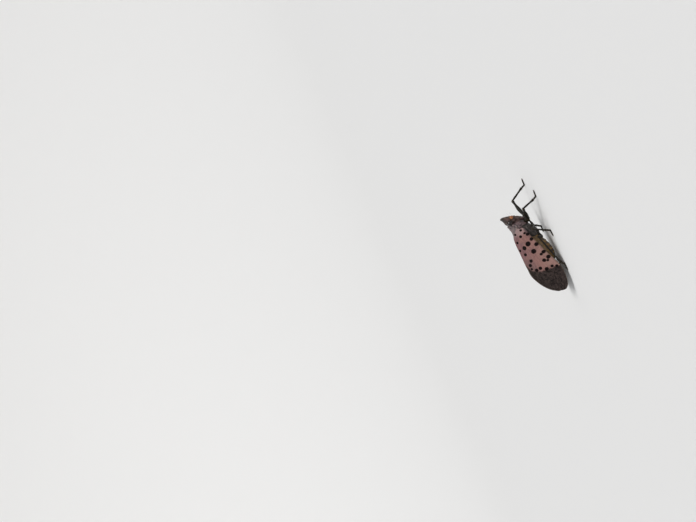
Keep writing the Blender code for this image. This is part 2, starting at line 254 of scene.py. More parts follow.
def tube(path, radii, sides=16, edges=0.0, count=5):
    """A grid round a path. Radii is a table of place and radius; edges makes the section prismatic."""
    steps = np.linspace(0, 1, max(len(path), 12))
    path = smooth(path, steps) if len(path) < 12 else np.asarray(path, float)
    radius = by_column(radii, steps)[:, 0]
    way = unit(np.gradient(path, axis=0))
    across = unit(np.cross(way[0], [0.13, 0.21, 0.97]))
    turns = -2 * math.pi * np.arange(sides) / sides
    shape = radius[:, None] * (1 + edges * np.cos(count * turns))
    grid = []
    for k in range(len(path)):
        across = unit(across - way[k] * (across @ way[k]))
        other = np.cross(way[k], across)
        ring = np.cos(turns)[:, None] * across - np.sin(turns)[:, None] * other
        grid.append(path[k] + ring * shape[k][:, None])
    return np.array(grid)


def ball(centre, radii, rows=24, columns=36):
    """A grid round an ellipsoid, from its lowest point to its highest."""
    rise, turn = np.meshgrid(
        np.linspace(-0.49, 0.49, rows) * math.pi,
        2 * math.pi * np.arange(columns) / columns,
        indexing="ij",
    )
    out = [np.cos(rise) * np.cos(turn), np.cos(rise) * np.sin(turn), np.sin(rise)]
    return np.asarray(centre, float) + np.stack(out, -1) * np.asarray(radii, float)


# %% [markdown]
# A piece needs four things: its faces, its finish, the solids it stands for, and the body it rides on. The
# insect is one rigid model, so everything rides on the same body.

# %% From shapes to pieces
def make_piece(name, shape, finish, nodes=()):
    """Turns a shape into an object that rides on the body and stands for the named solids."""
    mesh = bpy.data.meshes.new(name)
    mesh.from_pydata(in_frame(np.concatenate(shape.points)).tolist(), [], shape.faces)
    for mark in sorted({name for name, _, _ in shape.marks}):
        parts = [(start, values) for other, start, values in shape.marks if other == mark]
        width = 3 if parts[0][1].shape[-1:] == (3,) and parts[0][1].ndim > 1 else 1
        whole = np.zeros((shape.count, width), np.float32)
        for start, values in parts:
            flat = values.reshape(-1, width)
            whole[start : start + len(flat)] = flat
        kind, key = ("FLOAT_VECTOR", "vector") if width == 3 else ("FLOAT", "value")
        mesh.attributes.new(mark, kind, "POINT").data.foreach_set(key, whole.ravel())
    mesh.shade_smooth()
    mesh.materials.append(finish)
    piece = bpy.data.objects.new(name, mesh)
    bpy.context.scene.collection.objects.link(piece)
    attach(piece, "root")
    if nodes:
        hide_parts(*nodes)
    print(f"{name}: {len(mesh.polygons)} faces")
    return piece


# %% [markdown]
# The finishes are node materials. Wiring them by hand is hard to read, so a shader value is wrapped in a small
# class: writing spots * 0.5 + haze adds the Math nodes. Colours don't go through Math nodes, which would turn
# them grey, but through one mixing method.

# %% Shader values as expressions
class Value:
    """A number that varies over the surface, as an output socket in a material."""

    def __init__(self, finish, socket):
        self.finish, self.socket = finish, socket

    def maths(self, operation, *others):
        return self.finish.add("ShaderNodeMath", {"operation": operation}, dict(enumerate(others)))

    def __add__(self, other):
        return self.maths("ADD", self, other)

    def __sub__(self, other):
        return self.maths("SUBTRACT", self, other)

    def __rsub__(self, other):
        return self.maths("SUBTRACT", other, self)

    def __mul__(self, other):
        return self.maths("MULTIPLY", self, other)

    def __truediv__(self, other):
        return self.maths("DIVIDE", self, other)

    __radd__ = __add__
    __rmul__ = __mul__

    def larger(self, other):
        return self.maths("MAXIMUM", self, other)

    def part(self):
        return self.maths("FRACT", self)

    def whole(self):
        return self.maths("FLOOR", self)

    def size(self):
        return self.maths("ABSOLUTE", self)

    def rise(self, start, end):
        """0 before start, 1 after end, and a soft step between. Start may be the larger one."""
        settings = {"interpolation_type": "SMOOTHSTEP"}
        places = {"Value": self, "From Min": start, "From Max": end}
        return self.finish.add("ShaderNodeMapRange", settings, places)


class Finish:
    """A material in the making. Its last step is give(), which sets the surface's own sockets."""

    def __init__(self, name):
        self.material = bpy.data.materials.new(name)
        self.material.use_nodes = True
        self.nodes = self.material.node_tree.nodes
        self.surface = self.nodes["Principled BSDF"]

    def add(self, kind, settings=None, sockets=None, output=0):
        """One node: its type, its settings, then the values or links of its sockets."""
        node = self.nodes.new(kind)
        for setting, value in (settings or {}).items():
            setattr(node, setting, value)
        for socket, value in (sockets or {}).items():
            self.set(node.inputs[socket], value)
        return Value(self, node.outputs[output])

    def set(self, socket, value):
        """Links a shader value to a socket, or sets the socket to a plain number or colour."""
        if isinstance(value, Value):
            self.material.node_tree.links.new(value.socket, socket)
        elif isinstance(value, tuple) and len(value) == 3 and socket.type == "RGBA":
            socket.default_value = (*value, 1)
        else:
            socket.default_value = value

    def mark(self, name, output="Fac"):
        """A mark that the shape stored on its points."""
        return self.add("ShaderNodeAttribute", {"attribute_name": name}, output=output)

    def place(self):
        return self.add("ShaderNodeTexCoord", output="Object")

    def noise(self, size, detail=3.0, where=None):
        """Cloudy noise around 0.5 whose blotches are about size millimetres."""
        sockets = {"Vector": where or self.place(), "Scale": 1 / (size * MM), "Detail": detail}
        return self.add("ShaderNodeTexNoise", None, sockets)

    def cells(self, size, output="Distance", kind="F1", where=None):
        """Cells about size millimetres apart: the distance to each one's middle, or its colour."""
        sockets = {"Vector": where or self.place(), "Scale": 1 / (size * MM)}
        return self.add("ShaderNodeTexVoronoi", {"feature": kind}, sockets, output)

    def dice(self, number):
        """A number between 0 and 1 drawn by lot, always the same one for the same number."""
        return self.add("ShaderNodeTexWhiteNoise", {"noise_dimensions": "1D"}, {"W": number})

    def mix(self, share, under, over):
        """The colour under, covered by the colour over where the share is 1."""
        return self.add("ShaderNodeMix", {"data_type": "RGBA"}, {0: share, 6: under, 7: over}, 2)

    def split(self, vector):
        """The three numbers of a vector."""
        node = self.nodes.new("ShaderNodeSeparateXYZ")
        self.set(node.inputs[0], vector)
        return [Value(self, output) for output in node.outputs]

    def join(self, x, y, z=0.0):
        return self.add("ShaderNodeCombineXYZ", None, {0: x, 1: y, 2: z})

    def bump(self, height, depth):
        """Bumps of at most depth millimetres."""
        return self.add("ShaderNodeBump", None, {"Height": height, "Distance": depth * MM})

    def give(self, **sockets):
        """Sets sockets of the surface. Their names are written with _ for a space."""
        for name, value in sockets.items():
            self.set(self.surface.inputs[name.replace("_", " ")], value)
        return self.material


# %% [markdown]
# The forewing is a leathery sheet held like one side of a roof. It could be cut from a flat outline and bent,
# but its two edges, the crest over the back and the lower edge along the flank, say more about its shape. So
# the sheet is spanned between those two curves and swells a little outwards between them.

# %% Forewing: the sheet between its two edges
CREST = [
    (2.12, 10.8, 7.7),
    (1.42, 11.65, 8.4),
    (0.68, 12.45, 8.86),
    (0.12, 13.15, 9.05),
    (0.0, 14.2, 9.12),
    (0.0, 17.0, 9.05),
    (0.0, 20.5, 8.95),
    (0.0, 24.0, 8.68),
    (0.02, 26.0, 7.75),
    (0.25, 27.7, 6.6),
    (1.05, 28.9, 5.4),
    (2.5, 29.8, 4.05),
    (4.0, 30.25, 3.0),
]
LOWER_EDGE = [
    (3.15, 10.85, 5.75),
    (3.75, 12.6, 5.4),
    (4.4, 14.5, 4.9),
    (4.95, 16.3, 4.22),
    (5.4, 18.0, 3.62),
    (5.75, 19.6, 3.05),
    (5.98, 21.2, 2.32),
    (6.15, 23.0, 1.6),
    (6.22, 24.8, 1.2),
    (6.2, 26.4, 1.15),
    (6.02, 28.2, 1.3),
    (5.6, 29.4, 1.62),
    (5.05, 30.1, 2.2),
]
WING_BULGE = 0.55
OUTLINE = np.array(CREST + LOWER_EDGE[::-1])
reach = np.cumsum(np.linalg.norm(np.diff(OUTLINE, axis=0), axis=1))
CREST_END, EDGE_END = reach[len(CREST) - 2] / reach[-1], reach[len(CREST) - 1] / reach[-1]
REAR_STEP = OUTLINE[13] - OUTLINE[12]


def wing_sheet(along, down, depth=0.0):
    """Points of the left wing's sheet at places along and down it, that deep under its outer face."""
    top, low = smooth(OUTLINE, along * CREST_END), smooth(OUTLINE, 1 - along * (1 - EDGE_END))
    chord = low - top
    face = unit(np.stack([-chord[..., 2], 0 * along, chord[..., 0]], -1))
    swell = WING_BULGE * 4 * down * (1 - down) * np.sin(np.pi * np.clip(along * 1.1, 0, 1)) ** 0.5
    lean = np.clip(down / 0.3, 0, 1)[..., None]
    inwards = lean * -face + (1 - lean) * np.array([0.0, 0.0, -1.35])
    rear = smooth(OUTLINE, CREST_END + down * (EDGE_END - CREST_END)) - OUTLINE[12] - down[..., None] * REAR_STEP
    at_rear = np.clip((along - 0.8) / 0.2, 0, 1)[..., None] ** 2
    return top + chord * down[..., None] + face * swell[..., None] + inwards * depth + at_rear * rear


def mesh_of(rows, columns, along=(0.0, 1.0), down=(0.0, 1.0)):
    """Evenly spaced places along and down a wing."""
    return np.meshgrid(np.linspace(*along, rows), np.linspace(*down, columns), indexing="ij")


# %% [markdown]
# The veins of a real wing are tubes in the sheet. The main ones fan out from the shoulder, and a fine net of
# cross veins fills the space between. To draw both, each point of the wing gets an address: its station, and
# its row, counted from the lower edge. Rows keep their width over the rear third and close up towards the
# shoulder, just as the veins do.

# %% Forewing: rows, and the main veins
ROWS = 26
ROW_WIDTH = 0.37
REAR = 24.0

MAIN_VEINS = [
    [(11.2, 2.0), (14.0, 2.0), (18.0, 2.3), (22.0, 2.6), (27.0, 3.0)],
    [(11.2, 8.0), (14.0, 8.4), (18.0, 8.8), (22.0, 9.4), (24.5, 9.6)],
    [(16.0, 8.6), (18.5, 11.0), (21.0, 12.0), (24.5, 12.6)],
    [(11.2, 13.0), (14.0, 13.6), (18.0, 14.4), (22.0, 15.4), (24.5, 15.6)],
    [(15.0, 13.9), (17.5, 16.6), (20.5, 18.0), (24.5, 18.6)],
    [(11.2, 17.5), (13.5, 19.4), (16.5, 21.8), (19.5, 24.4), (21.0, 25.8)],
    [(11.6, 21.5), (13.5, 23.0), (16.0, 24.6), (18.0, 25.4)],
]


def wing_rows(points):
    """The row of each point of the sheet: 0 at the lower edge, ROWS at the crest up to the rear."""
    low, top = smooth(LOWER_EDGE, np.linspace(0, 1, 400)), smooth(CREST, np.linspace(0, 1, 400))
    station, held = points[..., 1], np.minimum(points[..., 1], REAR)
    edge = np.stack([np.interp(station, low[:, 1], low[:, k]) for k in (0, 2)], -1)
    chord = [np.interp(held, top[:, 1], top[:, k]) - np.interp(held, low[:, 1], low[:, k]) for k in (0, 2)]
    return ROWS * np.linalg.norm(points[..., (0, 2)] - edge, axis=-1) / np.hypot(*chord)


def vein_nearness(address, width):
    """How close each address is to a main vein: 1 on it, and 0 well away from it."""
    scale = np.array([1.0, ROW_WIDTH, 0.0])
    lines = [[(station, row * ROW_WIDTH, 0.0) for station, row in vein] for vein in MAIN_VEINS]
    return nearness(address * scale, lines, width)


# %% [markdown]
# The spots are the mark of the species. They aren't scattered at random: each wing carries about two dozen, and
# the same ones on both sides. So they are a short list, placed from the side view as station, height and
# radius. Each point of the wing stores how many radii it is from the nearest spot, and the finish decides
# how ragged the edge is.

# %% Forewing: the spots and the edge of the dark tip
SPOTS = [
    (11.97, 8.4, 0.32), (11.47, 6.74, 0.3), (12.98, 7.4, 0.37), (12.56, 6.18, 0.29), (13.12, 5.61, 0.42),
    (14.73, 5.28, 0.44), (14.15, 8.6, 0.37), (15.5, 6.52, 0.65), (16.47, 4.67, 0.51), (16.2, 7.69, 0.58),
    (16.3, 8.8, 0.35), (17.86, 6.0, 0.64), (17.81, 8.1, 0.42), (19.04, 3.81, 0.49), (19.33, 4.6, 0.35),
    (20.67, 3.24, 0.52), (21.13, 4.5, 0.46), (21.47, 3.68, 0.32), (19.9, 7.48, 0.46), (20.93, 8.05, 0.46),
    (21.99, 8.08, 0.32), (22.73, 7.11, 0.46), (22.62, 6.06, 0.44), (23.45, 4.69, 0.49), (23.27, 3.31, 0.37),
    (23.72, 2.22, 0.35),
]
DARK_EDGE = [(0.0, 20.7), (0.1, 22.0), (0.3, 23.1), (0.45, 23.5), (0.65, 23.6), (1.0, 23.7)]


def radii_from_spots(points):
    """Radii from each point to the nearest spot, measured along the sheet."""
    best = np.full(points.shape[:-1], 9.0)
    for station, height, radius in SPOTS:
        off = np.hypot(points[..., 1] - station, points[..., 2] - height)
        centre = points.reshape(-1, 3)[off.argmin()]
        # The spots are drawn out across the wing.
        gap = (points - centre) * np.array([0.78, 1.0, 0.78])
        best = np.minimum(best, np.linalg.norm(gap, axis=-1) / radius)
    return best


# %% [markdown]
# The finish of the forewing reads those addresses. In the rear third of the real wing, dark cells stand in rows
# between pale veins. A brick pattern would do, but it looks built. So each row is a lane with a cell length of
# its own, drawn by lot from the lane's number. Nearer the shoulder the same net only just shows on dusty pink.

# %% Forewing: finish
PINK = (0.246, 0.127, 0.111)
MAUVE = (0.190, 0.098, 0.108)
BEIGE = (0.310, 0.190, 0.160)
ASHEN = (0.115, 0.082, 0.074)
PINK_SHADE = (0.145, 0.078, 0.070)
PINK_VEIN = (0.350, 0.200, 0.172)
MARGIN = (0.105, 0.078, 0.054)
BASE_PALE = (0.360, 0.265, 0.255)
SHOULDER = (0.045, 0.033, 0.036)
CELL_DARK = (0.007, 0.005, 0.005)
CELL_GREY = (0.042, 0.030, 0.028)
TIP_VEIN = (0.110, 0.079, 0.068)
TIP_RIM = (0.130, 0.095, 0.070)
SPOT_BLACK = (0.0050, 0.0016, 0.0014)
CELL_HIGH = 0.26
CELL_LONG = 0.6


def forewing_finish():
    f = Finish("forewing")
    station, row, _ = f.split(f.mark("address", "Vector"))
    cloud = f.noise(1.6, 4)
    fine = f.noise(0.22, 3)
    along = station + (f.noise(0.9, 2) - 0.5) * 0.6
    lane = (row * ROW_WIDTH + (f.noise(0.8, 2) - 0.5) * 0.3) / CELL_HIGH
    luck = f.dice(lane.whole())
    cell_long = CELL_LONG * (0.7 + luck * 0.6)
    cell = along / cell_long + luck * 7.3
    shade = f.dice(lane.whole() + cell.whole() * 0.137)
    long_vein = ((0.5 - (lane.part() - 0.5).size()) * CELL_HIGH).rise(0.05, 0.012)
    cross_vein = ((0.5 - (cell.part() - 0.5).size()) * cell_long).rise(0.036, 0.01)
    net = long_vein.larger(cross_vein * 0.85)
    vein = f.mark("vein")
    pale = f.mix((row / ROWS + (cloud - 0.5) * 1.9).rise(0.35, 1.05), PINK, MAUVE)
    wide = (f.noise(3.5, 2) - 0.5) * 9
    pale = f.mix((row + wide).rise(13.0, 3.0) * station.rise(14.0, 20.0) * 0.6, pale, BEIGE)
    pale = f.mix((row + wide).rise(12.0, 20.0) * station.rise(17.0, 21.5) * 0.6, pale, ASHEN)
    pale = f.mix((fine * cloud).rise(0.2, 0.4) * 0.7, pale, PINK_SHADE)
    pale = f.mix(long_vein * 0.28 + cross_vein * 0.2 + vein * 0.35, pale, PINK_VEIN)
    pale = f.mix((1.6 - row).rise(0.0, 1.6) * 0.7, pale, MARGIN)
    pale = f.mix((station + (cloud - 0.5) * 3).rise(13.6, 11.4) * 0.65, pale, BASE_PALE)
    low_front = (row + (cloud - 0.5) * 4).rise(6.0, 1.5) * (station + (fine - 0.5) * 1.5).rise(15.0, 12.6)
    pale = f.mix(low_front * 0.75, pale, SHOULDER)
    patchy = f.noise(0.7, 3)
    dark = f.mix(shade * 0.7 + (fine - 0.5) + (patchy - 0.52) * 2.2, CELL_DARK, CELL_GREY)
    dark = f.mix(net * (0.25 + patchy.rise(0.25, 0.75) * 0.65), dark, TIP_VEIN)
    dark = f.mix(f.mark("rim") * 0.6, dark, TIP_RIM)
    tip = (f.mark("rear") + (cloud - 0.5) * 1.5 + (fine - 0.5) * 0.9).rise(-0.25, 0.35)
    spot = (f.mark("spot") + (fine - 0.5) * 0.32 + (cloud - 0.5) * 0.25 + (shade - 0.5) * 0.1).rise(1.09, 0.94)
    height = net * (0.25 + tip * 0.6) + fine * 0.4 + spot * 0.15
    return f.give(
        Base_Color=f.mix(spot, f.mix(tip, pale, dark), SPOT_BLACK),
        Roughness=0.62 - net * 0.1 - spot * 0.05 + (fine - 0.5) * 0.12,
        Specular_IOR_Level=0.06,
        Normal=f.bump(height, 0.035),
    )


# %% [markdown]
# Both wings are the same sheet, mirrored. On the living insect one wing's edge lies over the other along the
# crest, so the left one reaches a little across. The sheet is closed by an inner face and a rim, which keeps it
# solid. Its own map for baking gives most of the room to the outer face, where the pattern is.

# %% Forewing: both pieces
WING_SKIN = 0.13


def closed_sheet(outer, inner, **marks):
    """A shape from an outer and an inner face of equal grids, with the rim between them."""
    rows, columns = outer.shape[:2]
    shape = Shape().grid(outer, False, **marks).grid(inner, False, inside_out=True, **marks)
    last = [(rows - 1) * columns + c for c in range(columns - 1, -1, -1)]
    rim = [*range(columns), *[r * columns + columns - 1 for r in range(1, rows - 1)], *last]
    rim += [r * columns for r in range(rows - 2, 0, -1)]
    far = rows * columns
    shape.faces += [[j, i, far + i, far + j] for i, j in zip(rim, rim[1:] + rim[:1])]
    return shape


def sheet_map(mesh, rows, columns):
    """The map for baking: the outer face below, the inner face above, the rim in a strip between."""
    point = np.empty(len(mesh.loops), np.int32)
    mesh.loops.foreach_get("vertex_index", point)
    inner, at = point >= rows * columns, point % (rows * columns)
    u, v = (at // columns) / (rows - 1), (at % columns) / (columns - 1)
    quads = inner.reshape(-1, 4)
    mixed = np.repeat(quads.any(1) & ~quads.all(1), 4)
    side_edge = (at % columns == 0) | (at % columns == columns - 1)
    side_edge = np.repeat(side_edge.reshape(-1, 4).all(1), 4)
    v = np.where(mixed, np.where(inner, 0.66, 0.645), np.where(inner, 0.67 + 0.32 * v, 0.01 + 0.62 * v))
    u = np.where(mixed & ~side_edge, (at % columns) / (columns - 1), u)
    uv = mesh.uv_layers.new(name="OFBake")
    uv.data.foreach_set("uv", np.stack([0.01 + 0.98 * u, v], 1).astype(np.float32).ravel())


def forewing_shape(lap, lap_rise, rows=330, columns=150):
    """The left forewing. Along the crest its edge moves across by lap and up by lap_rise."""
    along, down = mesh_of(rows, columns)
    outer = wing_sheet(along, down)
    address = np.stack([outer[..., 1], wing_rows(outer), 0 * along], -1)
    marks = {
        "address": address,
        "vein": vein_nearness(address, 0.09),
        "spot": radii_from_spots(outer),
        "rear": outer[..., 1] - np.interp(down, *np.array(DARK_EDGE).T),
    }
    edge = np.exp(-(((1 - down) / 0.012) ** 2)) + np.exp(-((down / 0.012) ** 2))
    marks["rim"] = np.maximum(edge, np.exp(-(((1 - along) / 0.006) ** 2)))
    lift = 0.045 * marks["vein"] + 0.05 * vein_nearness(address, 0.35) + 0.03 * edge
    lift += 0.05 * ripple(outer, 3.5, 5) * np.clip(along / 0.05, 0, 1)
    inwards = wing_sheet(along, down, WING_SKIN) - outer
    # The front end is rounded off towards the lower edge.
    outer[..., 1] += 0.55 * np.exp(-along / 0.03) * np.clip((down - 0.5) / 0.5, 0, 1) ** 2
    outer = outer + normals_of(outer, False) * lift[..., None]
    near_crest = np.exp(-((down / 0.035) ** 2)) * np.clip((along - 0.12) / 0.05, 0, 1)
    outer += near_crest[..., None] * np.array([-lap, 0.0, lap_rise])
    return closed_sheet(outer, outer + inwards, **marks), rows, columns


forewing = forewing_finish()
shape, rows, columns = forewing_shape(0.16, 0.05)
piece = make_piece("forewing_left_skin", shape, forewing, ["forewing_left"])
sheet_map(piece.data, rows, columns)
shape, rows, columns = forewing_shape(-0.03, -0.05)
piece = make_piece("forewing_right_skin", shape.mirrored(), forewing, ["forewing_right"])
sheet_map(piece.data, rows, columns)

# %% [markdown]
# Under each forewing lies the hindwing, a thin fan folded along its length. At rest only a sliver of it shows,
# from below and behind, in red with black spots, then a pale band and a dark end. Its folds are real pleats,
# because a flat sheet would look like card from behind.

# %% Hindwing
WING_RED = (0.42, 0.035, 0.02)
RED_SHADE = (0.25, 0.022, 0.018)
BAND_PALE = (0.55, 0.50, 0.44)
SMOKE = (0.045, 0.033, 0.032)


def hindwing_finish():
    f = Finish("hindwing")
    station, row, _ = f.split(f.mark("address", "Vector"))
    fine, cloud = f.noise(0.25, 3), f.noise(1.3, 3)
    colour = f.mix(cloud.rise(0.3, 0.75), WING_RED, RED_SHADE)
    colour = f.mix((f.cells(1.1) + fine * 0.25).rise(0.42, 0.36), colour, SPOT_BLACK)
    colour = f.mix((station + (cloud - 0.5) * 2).rise(19.6, 20.0), colour, BAND_PALE)
    colour = f.mix((station + (cloud - 0.5) * 2.4).rise(21.6, 22.2), colour, SMOKE)
    rib = f.mark("vein")
    return f.give(
        Base_Color=f.mix(rib * 0.5, colour, SMOKE),
        Roughness=0.45 + fine * 0.15,
        Specular_IOR_Level=0.35,
        Normal=f.bump(fine * 0.4 + rib * 0.6, 0.03),
    )


def hindwing_shape(rows=150, columns=90):
    along, down = mesh_of(rows, columns, (0.2, 0.88), (0.03, 0.9))
    # The rear corners are rounded, and the pleats flatten out towards the rear edge.
    along -= (along - 0.2) * 0.16 * np.abs(down / 0.435 - 1.07) ** 3
    outer = wing_sheet(along, down, 0.62)
    pleat = np.cos(down * 2 * math.pi * 9) * (1 - 0.6 * np.linspace(0, 1, rows)[:, None] ** 4)
    address = np.stack([outer[..., 1], down * 20, 0 * along], -1)
    outer = outer + normals_of(outer, False) * (0.09 * pleat * np.clip(along - 0.1, 0, 0.3) / 0.3)[..., None]
    inner = outer + unit(wing_sheet(along, down, 1.0) - wing_sheet(along, down)) * 0.09
    marks = {"address": address, "vein": np.clip(pleat * 3 - 2, 0, 1)}
    return closed_sheet(outer, inner, **marks), rows, columns


hindwing = hindwing_finish()
shape, rows, columns = hindwing_shape()
for side, name in ((shape, "left"), (shape.mirrored(), "right")):
    piece = make_piece(f"hindwing_{name}_skin", side, hindwing, [f"hindwing_{name}"])
    sheet_map(piece.data, rows, columns)

# %% [markdown]
# The trunk is a row of rings, one behind the other. A table gives each ring's lowest point, highest point and
# half width at its station, and every plate of the body is cut from this one tube, so neighbours always fit.

# %% Trunk
TRUNK = [
    (9.2, 4.9, 9.2, 1.75),
    (9.8, 4.3, 9.05, 2.25),
    (10.4, 3.85, 8.75, 2.4),
    (11.4, 3.4, 8.15, 2.4),
    (12.6, 3.05, 7.5, 2.3),
    (14.0, 2.6, 6.85, 2.35),
    (16.0, 2.0, 6.35, 2.6),
    (18.0, 1.6, 5.9, 2.65),
    (20.0, 1.45, 5.25, 2.3),
    (21.4, 1.55, 4.5, 1.65),
    (22.4, 1.9, 3.8, 0.95),
    (22.9, 2.4, 3.2, 0.3),
]


def trunk_skin(start, end, rows, columns):
    """A length of the trunk as a grid, with each point's turn: 1 at the back, -1 under the belly."""
    stations = np.linspace(start, end, rows)
    turns = np.pi - 2 * np.pi * np.arange(columns) / columns
    station, turn = np.meshgrid(stations, turns, indexing="ij")
    low, high, half = np.moveaxis(by_column(TRUNK, station), -1, 0)
    middle = low + 0.42 * (high - low)
    c, s = np.cos(turn), np.sin(turn)
    power = np.where(s < 0, 0.92, 1.06)
    rise = np.where(s > 0, high - middle, middle - low)
    x = half * np.sign(c) * np.abs(c) ** power
    return np.stack([x, station, middle + rise * np.sign(s) * np.abs(s) ** power], -1), s


# %% [markdown]
# The plates of head and trunk are the same dark horny shell, dusted with grey wax. One recipe serves them all:
# a mottled ground, keels rubbed paler, pits and wrinkles in the bump, and wax lying in the low places. Each
# plate only changes the colours.

# %% Shell finish
def shell_finish(name, ground, blotch, keel, wax=0.3, grain=0.09, keel_share=0.75, mottle=0.55):
    f = Finish(name)
    cloud, fine = f.noise(mottle, 4), f.noise(0.1, 3)
    pits = f.cells(grain)
    ridge = f.mark("keel")
    low = f.mark("groove")
    colour = f.mix((cloud + (fine - 0.5) * 0.5).rise(0.4, 0.62), ground, blotch)
    colour = f.mix((ridge + (fine - 0.5) * 0.5).rise(0.35, 0.9) * keel_share, colour, keel)
    dust = (f.noise(0.8, 5) + low * 0.35 - ridge * 0.3).rise(0.5, 0.75) * wax
    colour = f.mix(dust, colour, (0.29, 0.240, 0.236))
    colour = f.mix((pits.rise(0.32, 0.12) * 0.5).larger(f.mark("shade")), colour, (0.012, 0.009, 0.006))
    height = pits.rise(0.0, 0.5) * 0.6 + fine * 0.4 + cloud * 0.3
    return f.give(
        Base_Color=colour,
        Roughness=0.5 + dust * 0.35 - ridge * 0.08 + (fine - 0.5) * 0.15,
        Specular_IOR_Level=0.4,
        Normal=f.bump(height, 0.03),
    )


DARK_KEEL = (0.16, 0.115, 0.075)
head_shell = shell_finish("head shell", (0.086, 0.043, 0.039), (0.030, 0.016, 0.013), DARK_KEEL, 0.22)
collar_shell = shell_finish(
    "collar shell", (0.140, 0.088, 0.090), (0.014, 0.008, 0.011), (0.22, 0.165, 0.15), 0.42, mottle=0.85
)
shield_shell = shell_finish(
    "shield shell", (0.150, 0.097, 0.096), (0.032, 0.020, 0.022), (0.23, 0.17, 0.145), 0.42, mottle=0.85
)
side_shell = shell_finish("side shell", (0.048, 0.038, 0.034), (0.024, 0.019, 0.017), (0.13, 0.1, 0.075), 0.5)

# %% [markdown]
# The head is a wedge with its edge up: a broad face in front, a short crown behind the edge, and a mouth
# shield below. It is a stack of level rings. The face's keels are lines drawn over it, one side of which is
# mirrored, so that the face stays even.

# %% Head: rings, keels and eye rims
HEAD = [
    (4.25, 8.62, 9.02, 0.32),
    (4.8, 8.22, 9.0, 0.62),
    (5.6, 7.72, 9.02, 1.0),
    (6.6, 7.22, 9.06, 1.32),
    (7.5, 6.92, 9.08, 1.46),
    (8.3, 6.74, 9.06, 1.46),
    (9.0, 6.62, 8.95, 1.4),
    (9.5, 6.58, 8.4, 1.3),
    (9.9, 6.6, 7.65, 1.12),
    (10.15, 6.7, 7.2, 0.8),
]
EYE_CENTRE = np.array([1.52, 8.62, 8.3])
EYE_RADII = np.array([0.62, 0.8, 0.82])


def head_skin(rows=190, columns=200):
    """The head as a grid of level rings, closed over the crown and under the mouth."""
    height = np.linspace(HEAD[0][0], HEAD[-1][0], rows)
    turns = 2 * np.pi * np.arange(columns) / columns
    height, turn = np.meshgrid(height, turns, indexing="ij")
    front, back, half = np.moveaxis(by_column(HEAD, height), -1, 0)
    c, s = np.cos(turn), np.sin(turn)
    x = half * np.sign(c) * np.abs(c) ** 0.75
    station = (front + back) / 2 + (back - front) / 2 * np.sign(s) * np.abs(s) ** 0.8
    grid = np.stack([x, station, height], -1)
    shrink = np.array([0.85, 0.6, 0.3])[:, None, None]
    crown = grid[-1].mean(0) + (grid[-1] - grid[-1].mean(0)) * shrink + np.array([0, 0, 0.05])
    mouth = grid[0].mean(0) + (grid[0] - grid[0].mean(0)) * shrink[::-1] - np.array([0, 0, 0.05])
    grid = np.concatenate([mouth, grid, crown])
    # The crown slopes back from its front edge.
    grid[..., 2] -= 0.4 * np.clip(grid[..., 1] - 6.7, 0, 1) * np.clip((grid[..., 2] - 9.5) / 0.6, 0, 1)
    return grid


FACE_KEELS = both_sides([
    [(0.88, 10.0), (1.14, 9.2), (1.22, 8.2), (1.16, 7.1), (0.96, 6.2), (0.72, 5.3)],
    [(0.4, 10.05), (0.54, 9.2), (0.6, 8.2), (0.53, 7.2), (0.4, 6.35)],
]) + [[(0.0, 10.1), (0.0, 9.6), (0.0, 9.1)], [(0.0, 5.9), (0.0, 5.2), (0.0, 4.3)]]
FACE_GROOVES = [[(-1.0, 5.7), (-0.6, 5.95), (0.0, 6.12), (0.6, 5.95), (1.0, 5.7)]]
CROWN_KEELS = both_sides([[(0.86, 6.85), (1.08, 7.5), (1.2, 8.1), (1.16, 8.75), (0.7, 8.92), (0.0, 8.88)]])
CROWN_KEELS += [[(0.0, 6.95), (0.0, 7.8), (0.0, 8.9)]]
CHEEK_KEELS = both_sides([[(1.3, 7.35, 7.1), (1.45, 7.9, 6.6), (1.3, 8.6, 6.3), (1.1, 9.0, 6.2)]])
CHEEK_GROOVES = both_sides([[(0.95, 7.75, 5.78), (1.05, 8.3, 5.6), (0.95, 8.9, 5.5)]])
ANTENNA_ROOT = np.array([1.5, 7.52, 7.66])


def beyond_eye(points):
    """Rough distance outside the nearer eye, in millimetres."""
    off = (np.abs(points) * np.array([1, 0, 0]) + points * np.array([0, 1, 1]) - EYE_CENTRE) / EYE_RADII
    return (np.linalg.norm(off, axis=-1) - 1) * EYE_RADII.mean()


grid = head_skin()
outwards = normals_of(grid)
height, at_side = grid[..., 2], np.abs(grid[..., 0])
face = np.clip((-outwards[..., 1] - 0.15) / 0.3, 0, 1) * np.clip((10.05 - height) / 0.2, 0, 1)
crown = np.clip((outwards[..., 2] - 0.25) / 0.25, 0, 1) * (height > 8.6)
keel = drawn(grid, FACE_KEELS, 0.07, [0, 2], face)
keel = np.maximum(keel, drawn(grid, CROWN_KEELS, 0.07, [0, 1], crown))
keel = np.maximum(keel, nearness(grid, CHEEK_KEELS, 0.08))
edge = np.exp(-(((height - 10.06) / 0.07) ** 2)) * (grid[..., 1] < 7.0)
groove = np.maximum(drawn(grid, FACE_GROOVES, 0.06, [0, 2], face), nearness(grid, CHEEK_GROOVES, 0.07))
eye_rim = np.exp(-(((beyond_eye(grid) - 0.1) / 0.08) ** 2))
to_feeler = np.linalg.norm(np.stack([at_side, grid[..., 1], height], -1) - ANTENNA_ROOT, axis=-1)
socket_rim = np.exp(-(((to_feeler - 0.42) / 0.09) ** 2))
between = face * np.clip((at_side - 0.62) / 0.1, 0, 1) * np.clip((1.12 - at_side) / 0.1, 0, 1)
dip = crown * np.exp(-(((at_side - 0.55) / 0.3) ** 2) - ((grid[..., 1] - 7.8) / 0.5) ** 2)
wrinkle = np.sin(height * 2 * math.pi / 0.17 + at_side * 2) * face * np.clip((0.45 - at_side) / 0.1, 0, 1)
